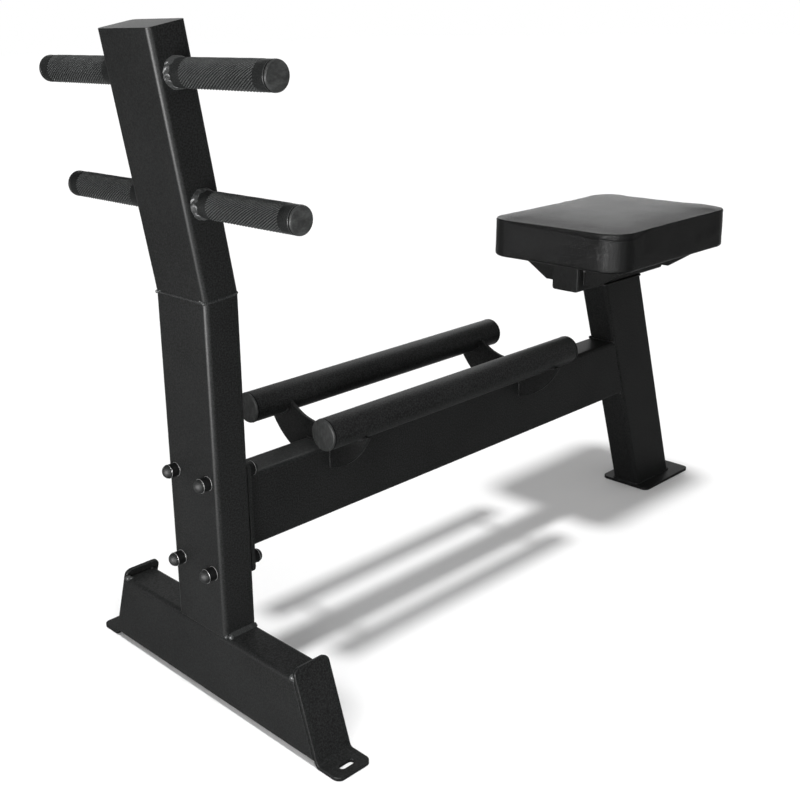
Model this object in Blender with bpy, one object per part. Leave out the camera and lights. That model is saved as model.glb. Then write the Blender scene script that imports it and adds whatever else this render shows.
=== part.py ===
"""Seal row bench: a cross foot with a kinked upright and four knurled handles, a low beam with two round rails on
crescent saddles, and a short upholstered pad on a leaning rear post.

Metres, +Z up. The floor is Z = 0. The bench is drawn from the upright's front face at X = 0, with +X towards the pad
and the right side at -Y, and its datum empty then centres it on the origin.
"""

import math

import bmesh
import bpy
from mathutils import Matrix, Vector

# Clearances
SEAT_GAP = 0.0003
BOLT_CLEARANCE = 0.0005

# Main frame tube
TUBE_WIDE = 0.120
TUBE_NARROW = 0.060
TUBE_WALL = 0.003
TUBE_CORNER = 0.008

# Front foot, whose ends lean inwards, and its bent end plates
FOOT_LIFT = 0.0065
FOOT_LENGTH = 0.509
END_LEAN = math.radians(18.3)
END_PLATE_WIDTH = 0.066
END_PLATE_BEHIND = 0.004
END_PLATE_THICKNESS = 0.006
END_PLATE_RISE = 0.0125
END_PLATE_CORNER = 0.011
END_BEND_RADIUS = 0.006
FLANGE_REACH = 0.0475
SLOT_LENGTH = 0.0275
SLOT_WIDTH = 0.011
SLOT_FROM_EDGE = 0.0185

# Upright
BEND_HEIGHT = 0.644
UPPER_LENGTH = 0.368
UPPER_LEAN = math.radians(9.7)
TOP_CAP_THICKNESS = 0.003

# Handles on the upper length, measured down its front face from the top
HANDLE_DIAMETER = 0.0381
KNURL_RELIEF = 0.0004
HANDLE_WALL = 0.004
HANDLE_REACH = 0.198
HANDLE_TOP_DROP = 0.0615
HANDLE_ROW_SPACING = 0.1735
KNURL_FROM_ROOT = 0.027
KNURL_FROM_END = 0.025
KNURL_CHAMFER = 0.0008

# Turned end plugs of the handles and the rails
PLUG_HEAD = 0.004
PLUG_EDGE = 0.0015
PLUG_SPIGOT = 0.016
PLUG_WALL = 0.0025

# Main beam and its bolted flange
BEAM_BOTTOM = 0.2383
BEAM_FLANGE_WIDTH = 0.115
BEAM_FLANGE_HEIGHT = 0.178
BEAM_FLANGE_THICKNESS = 0.006
BEAM_FLANGE_CORNER = 0.010
BEAM_FLANGE_OFFSET = 0.0026
BOLT_DIAMETER = 0.010
BOLT_SPACING_Y = 0.0785
BOLT_SPACING_Z = 0.1447
BOLT_HEAD_ACROSS_FLATS = 0.015
BOLT_HEAD_HEIGHT = 0.009
COLLAR_DIAMETER = 0.0185
COLLAR_THICKNESS = 0.0022
NUT_HEIGHT = 0.010
THREAD_STICKS_OUT = 0.003
CAP_DIAMETER = 0.022
CAP_WALL = 0.0014
CAP_SHOULDER = 0.0008
CAP_DOME = 0.009
HEAD_CAP_SKIRT = 0.014
NUT_CAP_SKIRT = 0.015

# Rails and the crescent saddles under them
RAIL_DIAMETER = 0.0508
RAIL_WALL = 0.003
RAIL_LENGTH = 0.614
RAIL_SPACING = 0.1818
RAIL_HEIGHT = 0.4108
RAIL_START = 0.180
SADDLE_START = 0.249
SADDLE_SPACING = 0.483
SADDLE_THICKNESS = 0.006
SADDLE_WEB = 0.031
SADDLE_HORN_ANGLE = math.radians(10)
SADDLE_DROP = 0.0378
SADDLE_TIP_DROP = 0.0165
SADDLE_TIP_WALL = 0.008

# Rear post and floor plate
POST_START = 1.162
POST_LEAN = math.radians(18.5)
REAR_PLATE_LENGTH = 0.172
REAR_PLATE_WIDTH = 0.113
REAR_PLATE_THICKNESS = 0.006
REAR_PLATE_CORNER = 0.012
REAR_PLATE_AHEAD = 0.006
REAR_HOLE_DIAMETER = 0.011
REAR_HOLE_FROM_EDGE = 0.020

# Seat support tube and brackets
SEAT_TUBE_SIZE = 0.060
SEAT_TUBE_WALL = 0.003
SEAT_TUBE_CORNER = 0.006
SEAT_TUBE_LENGTH = 0.299
SEAT_TUBE_BOTTOM = 0.4865
SEAT_TUBE_BEHIND = -0.0073
BRACKET_FROM_END = 0.020
BRACKET_THICKNESS = 0.006
BRACKET_HEIGHT = 0.0475
BRACKET_FLANGE = 0.040
BRACKET_LOW_HALF = 0.0588
BRACKET_TOP_HALF = 0.1347
PAD_SCREW_SPACING = 0.190
PAD_SCREW_DIAMETER = 0.008
PAD_SCREW_HEAD = 0.014
PAD_SCREW_HEAD_HEIGHT = 0.0045
PAD_SCREW_LENGTH = 0.020
TEE_NUT_BARREL = 0.0105
TEE_NUT_COLLAR = 0.022
TEE_NUT_COLLAR_THICKNESS = 0.0015
TEE_NUT_DEPTH = 0.010

# Pad
PAD_LENGTH = 0.396
PAD_WIDTH = 0.310
PAD_HEIGHT = 0.074
PAD_CORNER = 0.047
PAD_CROWN = 0.011
PAD_EDGE_ROLL = 0.009
PAD_BASE_ROLL = 0.006
PAD_DRAW_IN = 0.0025
PAD_BEHIND = -0.005
SEAM_DROP = 0.012
SEAM_DEPTH = 0.0012
COVER_MARGIN = 0.014
BOARD_THICKNESS = 0.015

# Facets
CORNER_STEPS = 4
HANDLE_FACETS = 24
RAIL_FACETS = 32
CAP_FACETS = 16
CAP_STEPS = 3
HOLE_FACETS = 16
PAD_CORNER_STEPS = 7
PAD_SIDE_STEPS = 5

# Heights and places that follow
FOOT_TOP = FOOT_LIFT + TUBE_WIDE
BEAM_TOP = BEAM_BOTTOM + TUBE_WIDE
FLANGE_BACK = TUBE_NARROW + SEAT_GAP + BEAM_FLANGE_THICKNESS
BOLT_HEIGHT = BEAM_BOTTOM + TUBE_WIDE / 2 + BEAM_FLANGE_OFFSET
SEAT_TUBE_TOP = SEAT_TUBE_BOTTOM + SEAT_TUBE_SIZE
TUBE_TO_BRACKET = SEAT_TUBE_SIZE / 2 + SEAT_GAP
POST_DEPTH = TUBE_WIDE / math.cos(POST_LEAN)
POST_TOP_CENTRE = POST_START - SEAT_TUBE_BOTTOM * math.tan(POST_LEAN) + POST_DEPTH / 2
SEAT_CENTRE = POST_TOP_CENTRE + SEAT_TUBE_BEHIND
PAD_CENTRE = SEAT_CENTRE + PAD_BEHIND
PAD_BASE = SEAT_TUBE_TOP + SEAT_GAP
REAR_PLATE_START = POST_START - REAR_PLATE_AHEAD
BENCH_FRONT = -UPPER_LENGTH * math.sin(UPPER_LEAN)
BENCH_BACK = REAR_PLATE_START + REAR_PLATE_LENGTH

ALONG_X = (0, math.pi / 2, 0)
ALONG_Y = (-math.pi / 2, 0, 0)
AGAINST_X = (0, -math.pi / 2, 0)
AGAINST_Y = (math.pi / 2, 0, 0)
SIDES = (("left", 1), ("right", -1))


def clear_scene():
    for obj in list(bpy.data.objects):
        bpy.data.objects.remove(obj, do_unlink=True)


def finish(name, colour, roughness, metallic):
    material = bpy.data.materials.new(name)
    material.use_nodes = True
    shader = material.node_tree.nodes["Principled BSDF"]
    shader.inputs["Base Color"].default_value = (*colour, 1)
    shader.inputs["Roughness"].default_value = roughness
    shader.inputs["Metallic"].default_value = metallic
    return material


class Bench:
    """Holds the datum that every piece hangs on."""

    def __init__(self):
        self.datum = bpy.data.objects.new("bench_datum", None)
        self.datum.location = (-(BENCH_FRONT + BENCH_BACK) / 2, 0, 0)
        bpy.context.scene.collection.objects.link(self.datum)

    def add(self, name, bm, place, turn, look, smooth=None):
        bmesh.ops.recalc_face_normals(bm, faces=bm.faces)
        mesh = bpy.data.meshes.new(name)
        bm.to_mesh(mesh)
        bm.free()
        if smooth:
            mesh.shade_smooth()
            mesh.set_sharp_from_angle(angle=math.radians(smooth))
        obj = bpy.data.objects.new(name, mesh)
        bpy.context.scene.collection.objects.link(obj)
        obj.parent = self.datum
        obj.location = place
        obj.rotation_euler = turn
        # Each piece has its own copy of its finish
        own = finish(f"{name}_{look[0]}", *look[1:])
        mesh.materials.append(own)
        return obj

    def cut(self, obj, bm, place, turn=(0, 0, 0)):
        """Cuts the closed shape in bm out of obj with a live Boolean."""
        name = f"{obj.name}_cutter_{len(obj.modifiers)}"
        cutter = self.add(name, bm, place, turn, STEEL)
        cutter.hide_render = True
        cutter.display_type = "WIRE"
        modifier = obj.modifiers.new(name, "BOOLEAN")
        modifier.operation = "DIFFERENCE"
        modifier.solver = "EXACT"
        modifier.object = cutter


POWDER_COAT = ("powder_coat", (0.035, 0.036, 0.036), 0.42, 0.3)
STEEL = ("steel", (0.35, 0.35, 0.36), 0.4, 1.0)
BLACK_PLASTIC = ("black_plastic", (0.02, 0.02, 0.021), 0.4, 0.0)
COVER = ("coated_fabric", (0.03, 0.03, 0.031), 0.5, 0.0)
PLYWOOD = ("plywood", (0.42, 0.3, 0.18), 0.8, 0.0)


def skin(rings, closed=False):
    """Bridges rings of equally many points. A closed row of rings makes a tube, an open one gets flat ends."""
    bm = bmesh.new()
    loops = [[bm.verts.new(point) for point in ring] for ring in rings]
    followers = loops[1:] + [loops[0]] if closed else loops[1:]
    for near, far in zip(loops, followers):
        for i in range(len(near)):
            j = (i + 1) % len(near)
            bm.faces.new((near[i], near[j], far[j], far[i]))
    if not closed:
        bm.faces.new(loops[0])
        bm.faces.new(loops[-1])
    return bm


def arc(centre, radius, start, end, steps):
    """Points on a circle, both ends among them."""
    angles = [start + (end - start) * i / steps for i in range(steps + 1)]
    return [(centre[0] + radius * math.cos(a), centre[1] + radius * math.sin(a)) for a in angles]


def rounded_rectangle(width, height, radius, steps=CORNER_STEPS):
    points = []
    for quarter, (su, sv) in enumerate(((1, 1), (-1, 1), (-1, -1), (1, -1))):
        centre = (su * (width / 2 - radius), sv * (height / 2 - radius))
        start = quarter * math.pi / 2
        points += arc(centre, radius, start, start + math.pi / 2, steps)
    return points


def box_tube(width, height, wall, corner, start, end):
    """A rectangular tube along local Z. start and end give each end's height over a point of the section."""
    outer = rounded_rectangle(width, height, corner)
    inner = rounded_rectangle(width - 2 * wall, height - 2 * wall, corner - wall)
    rings = []
    for section, cut in ((outer, start), (outer, end), (inner, end), (inner, start)):
        rings.append([(u, v, cut(u, v)) for u, v in section])
    return skin(rings, closed=True)


def turned(profile, facets, closed=False):
    """Turns (radius, height) points about local Z."""
    rings = []
    for radius, height in profile:
        angles = [2 * math.pi * i / facets for i in range(facets)]
        rings.append([(radius * math.cos(a), radius * math.sin(a), height) for a in angles])
    return skin(rings, closed)


def plate(outline, thickness):
    """A flat plate from local Z = 0 up."""
    return skin([[(u, v, w) for u, v in outline] for w in (0, thickness)])


def pin(radius, length, facets=HOLE_FACETS):
    return turned([(radius, 0), (radius, length)], facets)


def slot_outline(length, width, steps=6):
    reach = (length - width) / 2
    right = arc((reach, 0), width / 2, -math.pi / 2, math.pi / 2, steps)
    left = arc((-reach, 0), width / 2, math.pi / 2, 3 * math.pi / 2, steps)
    return right + left


def bend_path(corner, lean, radius, rise, reach, steps=6):
    """(across, up, nx, nz) along a plate that comes down at lean and turns out flat. n points to its outer side."""
    turn = math.pi / 2 - lean
    tangent = radius * math.tan(turn / 2)
    down = Vector((math.sin(lean), -math.cos(lean)))
    side = Vector((math.cos(lean), math.sin(lean)))
    foot = Vector((corner, 0))
    path = [(*(foot - down * rise), *side), (*(foot - down * tangent), *side)]
    centre = foot - down * tangent + side * radius
    for i in range(1, steps + 1):
        angle = turn * i / steps
        normal = Matrix.Rotation(angle, 2) @ side
        path.append((*(centre - normal * radius), *normal))
    path.append((corner + reach, 0, 0, 1))
    return path


def bent_plate(path, width, thickness, corner, corner_steps=5):
    """A strip along the path, rounded at its four corners. Its width lies along local X."""
    stations = []
    for first, second, reverse in ((path[0], path[1], False), (path[-1], path[-2], True)):
        here, there = Vector(first[:2]), Vector(second[:2])
        heading = (there - here).normalized()
        rows = []
        for i in range(corner_steps + 1):
            angle = math.pi / 2 * i / corner_steps
            along = corner * (1 - math.cos(angle))
            half = width / 2 - corner + corner * math.sin(angle)
            rows.append((*(here + heading * along), *first[2:], half))
        stations.append(rows[::-1] if reverse else rows)
    middle = [(*point, width / 2) for point in path[1:-1]]
    rows = stations[0] + middle + stations[1]
    rings = []
    for across, up, nx, nz, half in rows:
        outer = (across + nx * thickness, up + nz * thickness)
        rings.append([(-half, across, up), (half, across, up), (half, *outer), (-half, *outer)])
    return skin(rings)


def make_foot(bench):
    half = FOOT_LENGTH / 2
    slope = math.tan(END_LEAN)
    centre = FOOT_LIFT + TUBE_WIDE / 2
    gap = SEAT_GAP / math.cos(END_LEAN)

    def reach(v):
        return half - gap - slope * (centre - v)

    tube = box_tube(TUBE_NARROW, TUBE_WIDE, TUBE_WALL, TUBE_CORNER, lambda u, v: -reach(v), lambda u, v: reach(v))
    bench.add("front_foot_tube", tube, (TUBE_NARROW / 2, 0, centre), ALONG_Y, POWDER_COAT, 30)
    rise = (FOOT_TOP + END_PLATE_RISE) / math.cos(END_LEAN)
    outer_radius = END_BEND_RADIUS + END_PLATE_THICKNESS
    for side, sign in SIDES:
        path = bend_path(half, END_LEAN, outer_radius, rise, FLANGE_REACH)
        bm = bent_plate(path, END_PLATE_WIDTH, END_PLATE_THICKNESS, END_PLATE_CORNER)
        bm.transform(Matrix.Scale(sign, 4, (0, 1, 0)))
        middle = TUBE_NARROW / 2 + END_PLATE_BEHIND
        obj = bench.add(f"foot_end_plate_{side}", bm, (middle, 0, 0), (0, 0, 0), POWDER_COAT, 30)
        slot = plate(slot_outline(SLOT_LENGTH, SLOT_WIDTH), 4 * END_PLATE_THICKNESS)
        across = sign * (half + FLANGE_REACH - SLOT_FROM_EDGE)
        bench.cut(obj, slot, (middle, across, -END_PLATE_THICKNESS))


def make_upright(bench):
    mitre = math.tan(UPPER_LEAN / 2)
    half = TUBE_NARROW / 2
    centre = (half, 0, 0)

    def lower_end(u, v):
        return BEND_HEIGHT - SEAT_GAP / 2 + mitre * (u + half)

    lower = box_tube(TUBE_NARROW, TUBE_WIDE, TUBE_WALL, TUBE_CORNER, lambda u, v: FOOT_TOP + SEAT_GAP, lower_end)
    obj = bench.add("upright_lower_tube", lower, centre, (0, 0, 0), POWDER_COAT, 30)
    for _, y, z in bolt_places():
        hole = pin(BOLT_DIAMETER / 2 + BOLT_CLEARANCE, 2 * TUBE_NARROW)
        bench.cut(obj, hole, (-TUBE_NARROW / 2, y, z), ALONG_X)

    turn = (0, -UPPER_LEAN, 0)
    shift = Matrix.Translation((half, 0, 0))
    top = UPPER_LENGTH - TOP_CAP_THICKNESS - SEAT_GAP
    upper = box_tube(
        TUBE_NARROW,
        TUBE_WIDE,
        TUBE_WALL,
        TUBE_CORNER,
        lambda u, v: SEAT_GAP / 2 - mitre * (u + half),
        lambda u, v: top,
    )
    upper.transform(shift)
    bench.add("upright_upper_tube", upper, (0, 0, BEND_HEIGHT), turn, POWDER_COAT, 30)
    cap = plate(rounded_rectangle(TUBE_NARROW, TUBE_WIDE, TUBE_CORNER), TOP_CAP_THICKNESS)
    cap.transform(Matrix.Translation((half, 0, UPPER_LENGTH - TOP_CAP_THICKNESS)))
    bench.add("upright_top_cap", cap, (0, 0, BEND_HEIGHT), turn, POWDER_COAT, 30)


def handle_profile():
    radius = HANDLE_DIAMETER / 2
    knurl = radius + KNURL_RELIEF
    bore = radius - HANDLE_WALL
    end = HANDLE_REACH - PLUG_HEAD - SEAT_GAP
    first = KNURL_FROM_ROOT
    last = HANDLE_REACH - KNURL_FROM_END
    return [
        (radius, SEAT_GAP),
        (radius, first),
        (knurl, first + KNURL_CHAMFER),
        (knurl, last - KNURL_CHAMFER),
        (radius, last),
        (radius, end),
        (bore, end),
        (bore, SEAT_GAP),
    ]


def plug_profile(radius, bore):
    """A hollow end plug: its head's face at local Z = 0, its spigot below."""
    spigot = bore - SEAT_GAP
    hollow = spigot - PLUG_WALL
    foot = -PLUG_HEAD - PLUG_SPIGOT
    return [
        (radius - PLUG_EDGE, 0),
        (radius, -PLUG_EDGE),
        (radius, -PLUG_HEAD),
        (spigot, -PLUG_HEAD),
        (spigot, foot),
        (hollow, foot),
        (hollow, -PLUG_HEAD),
    ]


def make_handles(bench):
    lean = Matrix.Rotation(-UPPER_LEAN, 4, "Y")
    for row, drop in (("top", HANDLE_TOP_DROP), ("bottom", HANDLE_TOP_DROP + HANDLE_ROW_SPACING)):
        spot = lean @ Vector((TUBE_NARROW / 2, 0, UPPER_LENGTH - drop)) + Vector((0, 0, BEND_HEIGHT))
        for side, sign in SIDES:
            turn = ALONG_Y if sign > 0 else AGAINST_Y
            root = (spot.x, sign * TUBE_WIDE / 2, spot.z)
            tip = (spot.x, sign * (TUBE_WIDE / 2 + HANDLE_REACH), spot.z)
            tube = turned(handle_profile(), HANDLE_FACETS, closed=True)
            bench.add(f"handle_{row}_{side}", tube, root, turn, POWDER_COAT, 40)
            plug = turned(plug_profile(HANDLE_DIAMETER / 2, HANDLE_DIAMETER / 2 - HANDLE_WALL), HANDLE_FACETS)
            bench.add(f"handle_plug_{row}_{side}", plug, tip, turn, BLACK_PLASTIC, 40)


def post_front(height):
    return POST_START - height * math.tan(POST_LEAN)


def make_beam(bench):
    centre = BEAM_BOTTOM + TUBE_WIDE / 2
    gap = SEAT_GAP / math.cos(POST_LEAN)

    # Local X points down on a tube that is laid along X
    def far_end(u, v):
        return post_front(centre - u) - gap

    tube = box_tube(
        TUBE_WIDE, TUBE_NARROW, TUBE_WALL, TUBE_CORNER, lambda u, v: FLANGE_BACK + SEAT_GAP, far_end
    )
    bench.add("main_beam_tube", tube, (0, 0, centre), ALONG_X, POWDER_COAT, 30)

    outline = rounded_rectangle(BEAM_FLANGE_HEIGHT, BEAM_FLANGE_WIDTH, BEAM_FLANGE_CORNER)
    flange = bench.add(
        "beam_flange_plate",
        plate(outline, BEAM_FLANGE_THICKNESS),
        (TUBE_NARROW + SEAT_GAP, 0, BOLT_HEIGHT),
        ALONG_X,
        POWDER_COAT,
        30,
    )
    for _, y, z in bolt_places():
        hole = pin(BOLT_DIAMETER / 2 + BOLT_CLEARANCE, TUBE_NARROW)
        bench.cut(flange, hole, (TUBE_NARROW / 2, y, z), ALONG_X)


def bolt_places():
    """Each flange bolt's name, Y and Z."""
    for side, sign in SIDES:
        for row, up in (("top", 1), ("bottom", -1)):
            yield f"{row}_{side}", sign * BOLT_SPACING_Y / 2, BOLT_HEIGHT + up * BOLT_SPACING_Z / 2


def hexagon(across_flats):
    """A hexagon with a point in the middle of each side too."""
    apothem = across_flats / 2
    points = []
    for i in range(12):
        radius = apothem / math.cos(math.pi / 6) if i % 2 == 0 else apothem
        points.append((radius * math.cos(math.pi / 6 * i), radius * math.sin(math.pi / 6 * i)))
    return points


def circle(radius):
    """A round section with as many points as the hexagon."""
    return [(radius * math.cos(math.pi / 6 * i), radius * math.sin(math.pi / 6 * i)) for i in range(12)]


def stacked(sections, closed=False):
    """Bridges flat sections, each at its own height along local Z."""
    return skin([[(u, v, height) for u, v in section] for section, height in sections], closed)


def bolt_shape():
    """A flanged hexagon bolt along local Z, its bearing face at Z = 0 and its shank above."""
    head = hexagon(BOLT_HEAD_ACROSS_FLATS)
    collar = circle(COLLAR_DIAMETER / 2)
    shank = circle(BOLT_DIAMETER / 2)
    grip = TUBE_NARROW + BEAM_FLANGE_THICKNESS + 3 * SEAT_GAP
    length = grip + NUT_HEIGHT + THREAD_STICKS_OUT
    sections = (
        (head, -BOLT_HEAD_HEIGHT),
        (head, -COLLAR_THICKNESS),
        (collar, -COLLAR_THICKNESS),
        (collar, 0),
        (shank, 0),
        (shank, length),
    )
    return stacked(sections)


def nut_shape():
    """A flanged nut along local Z, its bearing face at Z = 0."""
    body = hexagon(BOLT_HEAD_ACROSS_FLATS)
    collar = circle(COLLAR_DIAMETER / 2)
    bore = circle(BOLT_DIAMETER / 2 + SEAT_GAP)
    sections = (
        (bore, 0),
        (collar, 0),
        (collar, COLLAR_THICKNESS),
        (body, COLLAR_THICKNESS),
        (body, NUT_HEIGHT),
        (bore, NUT_HEIGHT),
    )
    return stacked(sections, closed=True)


def cap_shape(skirt):
    """A domed cap over a bolt's end, hollow and open at local Z = 0."""
    radius = CAP_DIAMETER / 2
    inner = radius - CAP_WALL
    shoulder = radius - CAP_SHOULDER
    profile = [(inner - CAP_WALL, skirt + CAP_WALL), (inner, skirt), (inner, 0), (radius, 0), (radius, skirt)]
    for i in range(CAP_STEPS):
        angle = math.pi / 2 * i / CAP_STEPS
        profile.append((shoulder * math.cos(angle), skirt + CAP_DOME * math.sin(angle)))
    profile.append((CAP_SHOULDER, skirt + CAP_DOME))
    return turned(profile, CAP_FACETS)


def make_fasteners(bench):
    head_seat = -SEAT_GAP
    nut_seat = FLANGE_BACK + SEAT_GAP
    for spot, y, z in bolt_places():
        pieces = (
            ("flange_bolt", bolt_shape(), head_seat, ALONG_X, STEEL),
            ("flange_nut", nut_shape(), nut_seat, ALONG_X, STEEL),
            ("bolt_head_cap", cap_shape(HEAD_CAP_SKIRT), head_seat, AGAINST_X, BLACK_PLASTIC),
            ("nut_cap", cap_shape(NUT_CAP_SKIRT), nut_seat, ALONG_X, BLACK_PLASTIC),
        )
        for name, bm, x, turn, look in pieces:
            bench.add(f"{name}_{spot}", bm, (x, y, z), turn, look, 40)


def circle_angle(centre, point):
    return math.atan2(point[1] - centre[1], point[0] - centre[0])


def saddle_outline():
    """The crescent in (y, z): hollow top between the rails, pockets under them, round belly, notch over the beam."""
    rail = (RAIL_SPACING / 2, RAIL_HEIGHT)
    pocket = RAIL_DIAMETER / 2 + SEAT_GAP
    # The hollow top passes through its lowest point over the beam and meets each rail on its inner side
    low = BEAM_TOP + SADDLE_WEB
    horn = (rail[0] - pocket * math.cos(SADDLE_HORN_ANGLE), rail[1] + pocket * math.sin(SADDLE_HORN_ANGLE))
    rise = horn[1] - low
    hollow_radius = (horn[0] ** 2 + rise**2) / (2 * rise)
    hollow = (0, low + hollow_radius)
    # The belly passes through the outer tip and through the weld on the beam's side
    tip_height = rail[1] - SADDLE_TIP_DROP
    pocket_end = (rail[0] + math.sqrt(pocket**2 - SADDLE_TIP_DROP**2), tip_height)
    tip = (pocket_end[0] + SADDLE_TIP_WALL, tip_height)
    weld = (TUBE_NARROW / 2 + SEAT_GAP, BEAM_TOP - SADDLE_DROP)
    belly_height = (tip[0] ** 2 + tip[1] ** 2 - weld[0] ** 2 - weld[1] ** 2) / (2 * (tip[1] - weld[1]))
    belly = (0, belly_height)
    belly_radius = math.dist(belly, tip)

    right = arc(hollow, hollow_radius, -math.pi / 2, circle_angle(hollow, horn), 8)
    pocket_start = circle_angle(rail, horn) % (2 * math.pi)
    pocket_stop = circle_angle(rail, pocket_end) % (2 * math.pi)
    right += arc(rail, pocket, pocket_start, pocket_stop, 12)[1:]
    right += arc(belly, belly_radius, circle_angle(belly, tip), circle_angle(belly, weld), 12)
    notch_top = BEAM_TOP + SEAT_GAP
    right += [(weld[0], notch_top - TUBE_CORNER * 0.5), (weld[0] - TUBE_CORNER * 0.5, notch_top)]
    left = [(-y, z) for y, z in reversed(right[1:])]
    return right + left


def make_saddles(bench):
    # Local X points down and local Y along Y on a plate that is laid along X
    outline = [(-z, y) for y, z in saddle_outline()]
    for name, start in (("front", SADDLE_START), ("rear", SADDLE_START + SADDLE_SPACING)):
        bm = plate(outline, SADDLE_THICKNESS)
        bench.add(f"{name}_saddle_plate", bm, (start, 0, 0), ALONG_X, POWDER_COAT, 30)


def make_rails(bench):
    radius = RAIL_DIAMETER / 2
    bore = radius - RAIL_WALL
    first = PLUG_HEAD + SEAT_GAP
    last = RAIL_LENGTH - PLUG_HEAD - SEAT_GAP
    for side, sign in SIDES:
        y = sign * RAIL_SPACING / 2
        tube = turned([(radius, first), (radius, last), (bore, last), (bore, first)], RAIL_FACETS, closed=True)
        bench.add(f"rail_{side}", tube, (RAIL_START, y, RAIL_HEIGHT), ALONG_X, POWDER_COAT, 40)
        ends = (("front", RAIL_START, AGAINST_X), ("rear", RAIL_START + RAIL_LENGTH, ALONG_X))
        for end, x, turn in ends:
            plug = turned(plug_profile(radius, bore), RAIL_FACETS)
            bench.add(f"rail_plug_{end}_{side}", plug, (x, y, RAIL_HEIGHT), turn, BLACK_PLASTIC, 40)


def make_rear_post(bench):
    low = REAR_PLATE_THICKNESS + SEAT_GAP
    high = SEAT_TUBE_BOTTOM - SEAT_GAP

    # A point of the leaning tube is at this height on the floor's own scale
    def at_height(height):
        return lambda u, v: (height - (u + TUBE_WIDE / 2) * math.sin(POST_LEAN)) / math.cos(POST_LEAN)

    tube = box_tube(TUBE_WIDE, TUBE_NARROW, TUBE_WALL, TUBE_CORNER, at_height(low), at_height(high))
    tube.transform(Matrix.Translation((TUBE_WIDE / 2, 0, 0)))
    bench.add("rear_post_tube", tube, (POST_START, 0, 0), (0, -POST_LEAN, 0), POWDER_COAT, 30)

    outline = rounded_rectangle(REAR_PLATE_LENGTH, REAR_PLATE_WIDTH, REAR_PLATE_CORNER)
    centre = (REAR_PLATE_START + REAR_PLATE_LENGTH / 2, 0, 0)
    base = bench.add("rear_floor_plate", plate(outline, REAR_PLATE_THICKNESS), centre, (0, 0, 0), POWDER_COAT, 30)
    hole = pin(REAR_HOLE_DIAMETER / 2, 3 * REAR_PLATE_THICKNESS)
    bench.cut(base, hole, (BENCH_BACK - REAR_HOLE_FROM_EDGE, 0, -REAR_PLATE_THICKNESS))


def square_plug():
    """A hollow plug for the seat tube's end: its head's face at local Z = 0, its spigot below."""
    spigot = SEAT_TUBE_SIZE - 2 * SEAT_TUBE_WALL - 2 * SEAT_GAP
    corner = SEAT_TUBE_CORNER - SEAT_TUBE_WALL
    hollow = spigot - 2 * PLUG_WALL
    foot = -PLUG_HEAD - PLUG_SPIGOT
    sections = (
        (SEAT_TUBE_SIZE - 2 * PLUG_EDGE, SEAT_TUBE_CORNER - PLUG_EDGE, 0),
        (SEAT_TUBE_SIZE, SEAT_TUBE_CORNER, -PLUG_EDGE),
        (SEAT_TUBE_SIZE, SEAT_TUBE_CORNER, -PLUG_HEAD),
        (spigot, corner, -PLUG_HEAD),
        (spigot, corner, foot),
        (hollow, corner / 2, foot),
        (hollow, corner / 2, -PLUG_HEAD),
    )
    rings = []
    for size, radius, height in sections:
        rings.append([(u, v, height) for u, v in rounded_rectangle(size, size, radius)])
    return skin(rings)


def bracket_shape(sign):
    """A folded bracket: a web across the tube's side and a flange under the pad, trimmed along a slope."""
    t = BRACKET_THICKNESS
    bend = t
    inner = TUBE_TO_BRACKET
    corner = arc((t + bend, -t - bend), bend, math.pi, math.pi / 2, 4)
    outer = arc((t + bend, -t - bend), bend + t, math.pi, math.pi / 2, 4)
    section = [(0, -BRACKET_HEIGHT), (t, -BRACKET_HEIGHT), *corner, (BRACKET_FLANGE, -t), (BRACKET_FLANGE, 0)]
    section += outer[::-1]
    bm = skin([[(x, sign * y, z) for x, z in section] for y in (inner, BRACKET_TOP_HALF)])
    run = BRACKET_TOP_HALF - BRACKET_LOW_HALF
    slope = Vector((0, sign * BRACKET_HEIGHT, -run))
    faces = bm.faces[:] + bm.edges[:] + bm.verts[:]
    start = (0, sign * BRACKET_LOW_HALF, -BRACKET_HEIGHT)
    bmesh.ops.recalc_face_normals(bm, faces=bm.faces)
    cut = bmesh.ops.bisect_plane(bm, geom=faces, plane_co=start, plane_no=slope, clear_outer=True)
    edges = [item for item in cut["geom_cut"] if isinstance(item, bmesh.types.BMEdge)]
    bmesh.ops.holes_fill(bm, edges=edges, sides=len(edges))
    return bm


def make_seat_support(bench):
    half = SEAT_TUBE_SIZE / 2
    first = SEAT_CENTRE - SEAT_TUBE_LENGTH / 2
    last = SEAT_CENTRE + SEAT_TUBE_LENGTH / 2
    centre = SEAT_TUBE_BOTTOM + half
    inset = PLUG_HEAD + SEAT_GAP
    tube = box_tube(
        SEAT_TUBE_SIZE,
        SEAT_TUBE_SIZE,
        SEAT_TUBE_WALL,
        SEAT_TUBE_CORNER,
        lambda u, v: inset,
        lambda u, v: SEAT_TUBE_LENGTH - inset,
    )
    bench.add("seat_support_tube", tube, (first, 0, centre), ALONG_X, POWDER_COAT, 30)
    for end, x, turn in (("front", first, AGAINST_X), ("rear", last, ALONG_X)):
        bench.add(f"seat_tube_plug_{end}", square_plug(), (x, 0, centre), turn, BLACK_PLASTIC, 30)
    for side, sign in SIDES:
        for end, x, turn in (
            ("front", first + BRACKET_FROM_END, 0),
            ("rear", last - BRACKET_FROM_END, math.pi),
        ):
            # A rear bracket is turned half round, which swaps its sides
            bm = bracket_shape(sign if end == "front" else -sign)
            name = f"seat_bracket_{end}_{side}"
            obj = bench.add(name, bm, (x, 0, SEAT_TUBE_TOP), (0, 0, turn), POWDER_COAT, 30)
            for spot, px, py in pad_screw_places():
                if spot == f"{end}_{side}":
                    hole = pin(PAD_SCREW_DIAMETER / 2 + BOLT_CLEARANCE, 4 * BRACKET_THICKNESS)
                    bench.cut(obj, hole, (px, py, SEAT_TUBE_TOP - 2 * BRACKET_THICKNESS))


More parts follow.
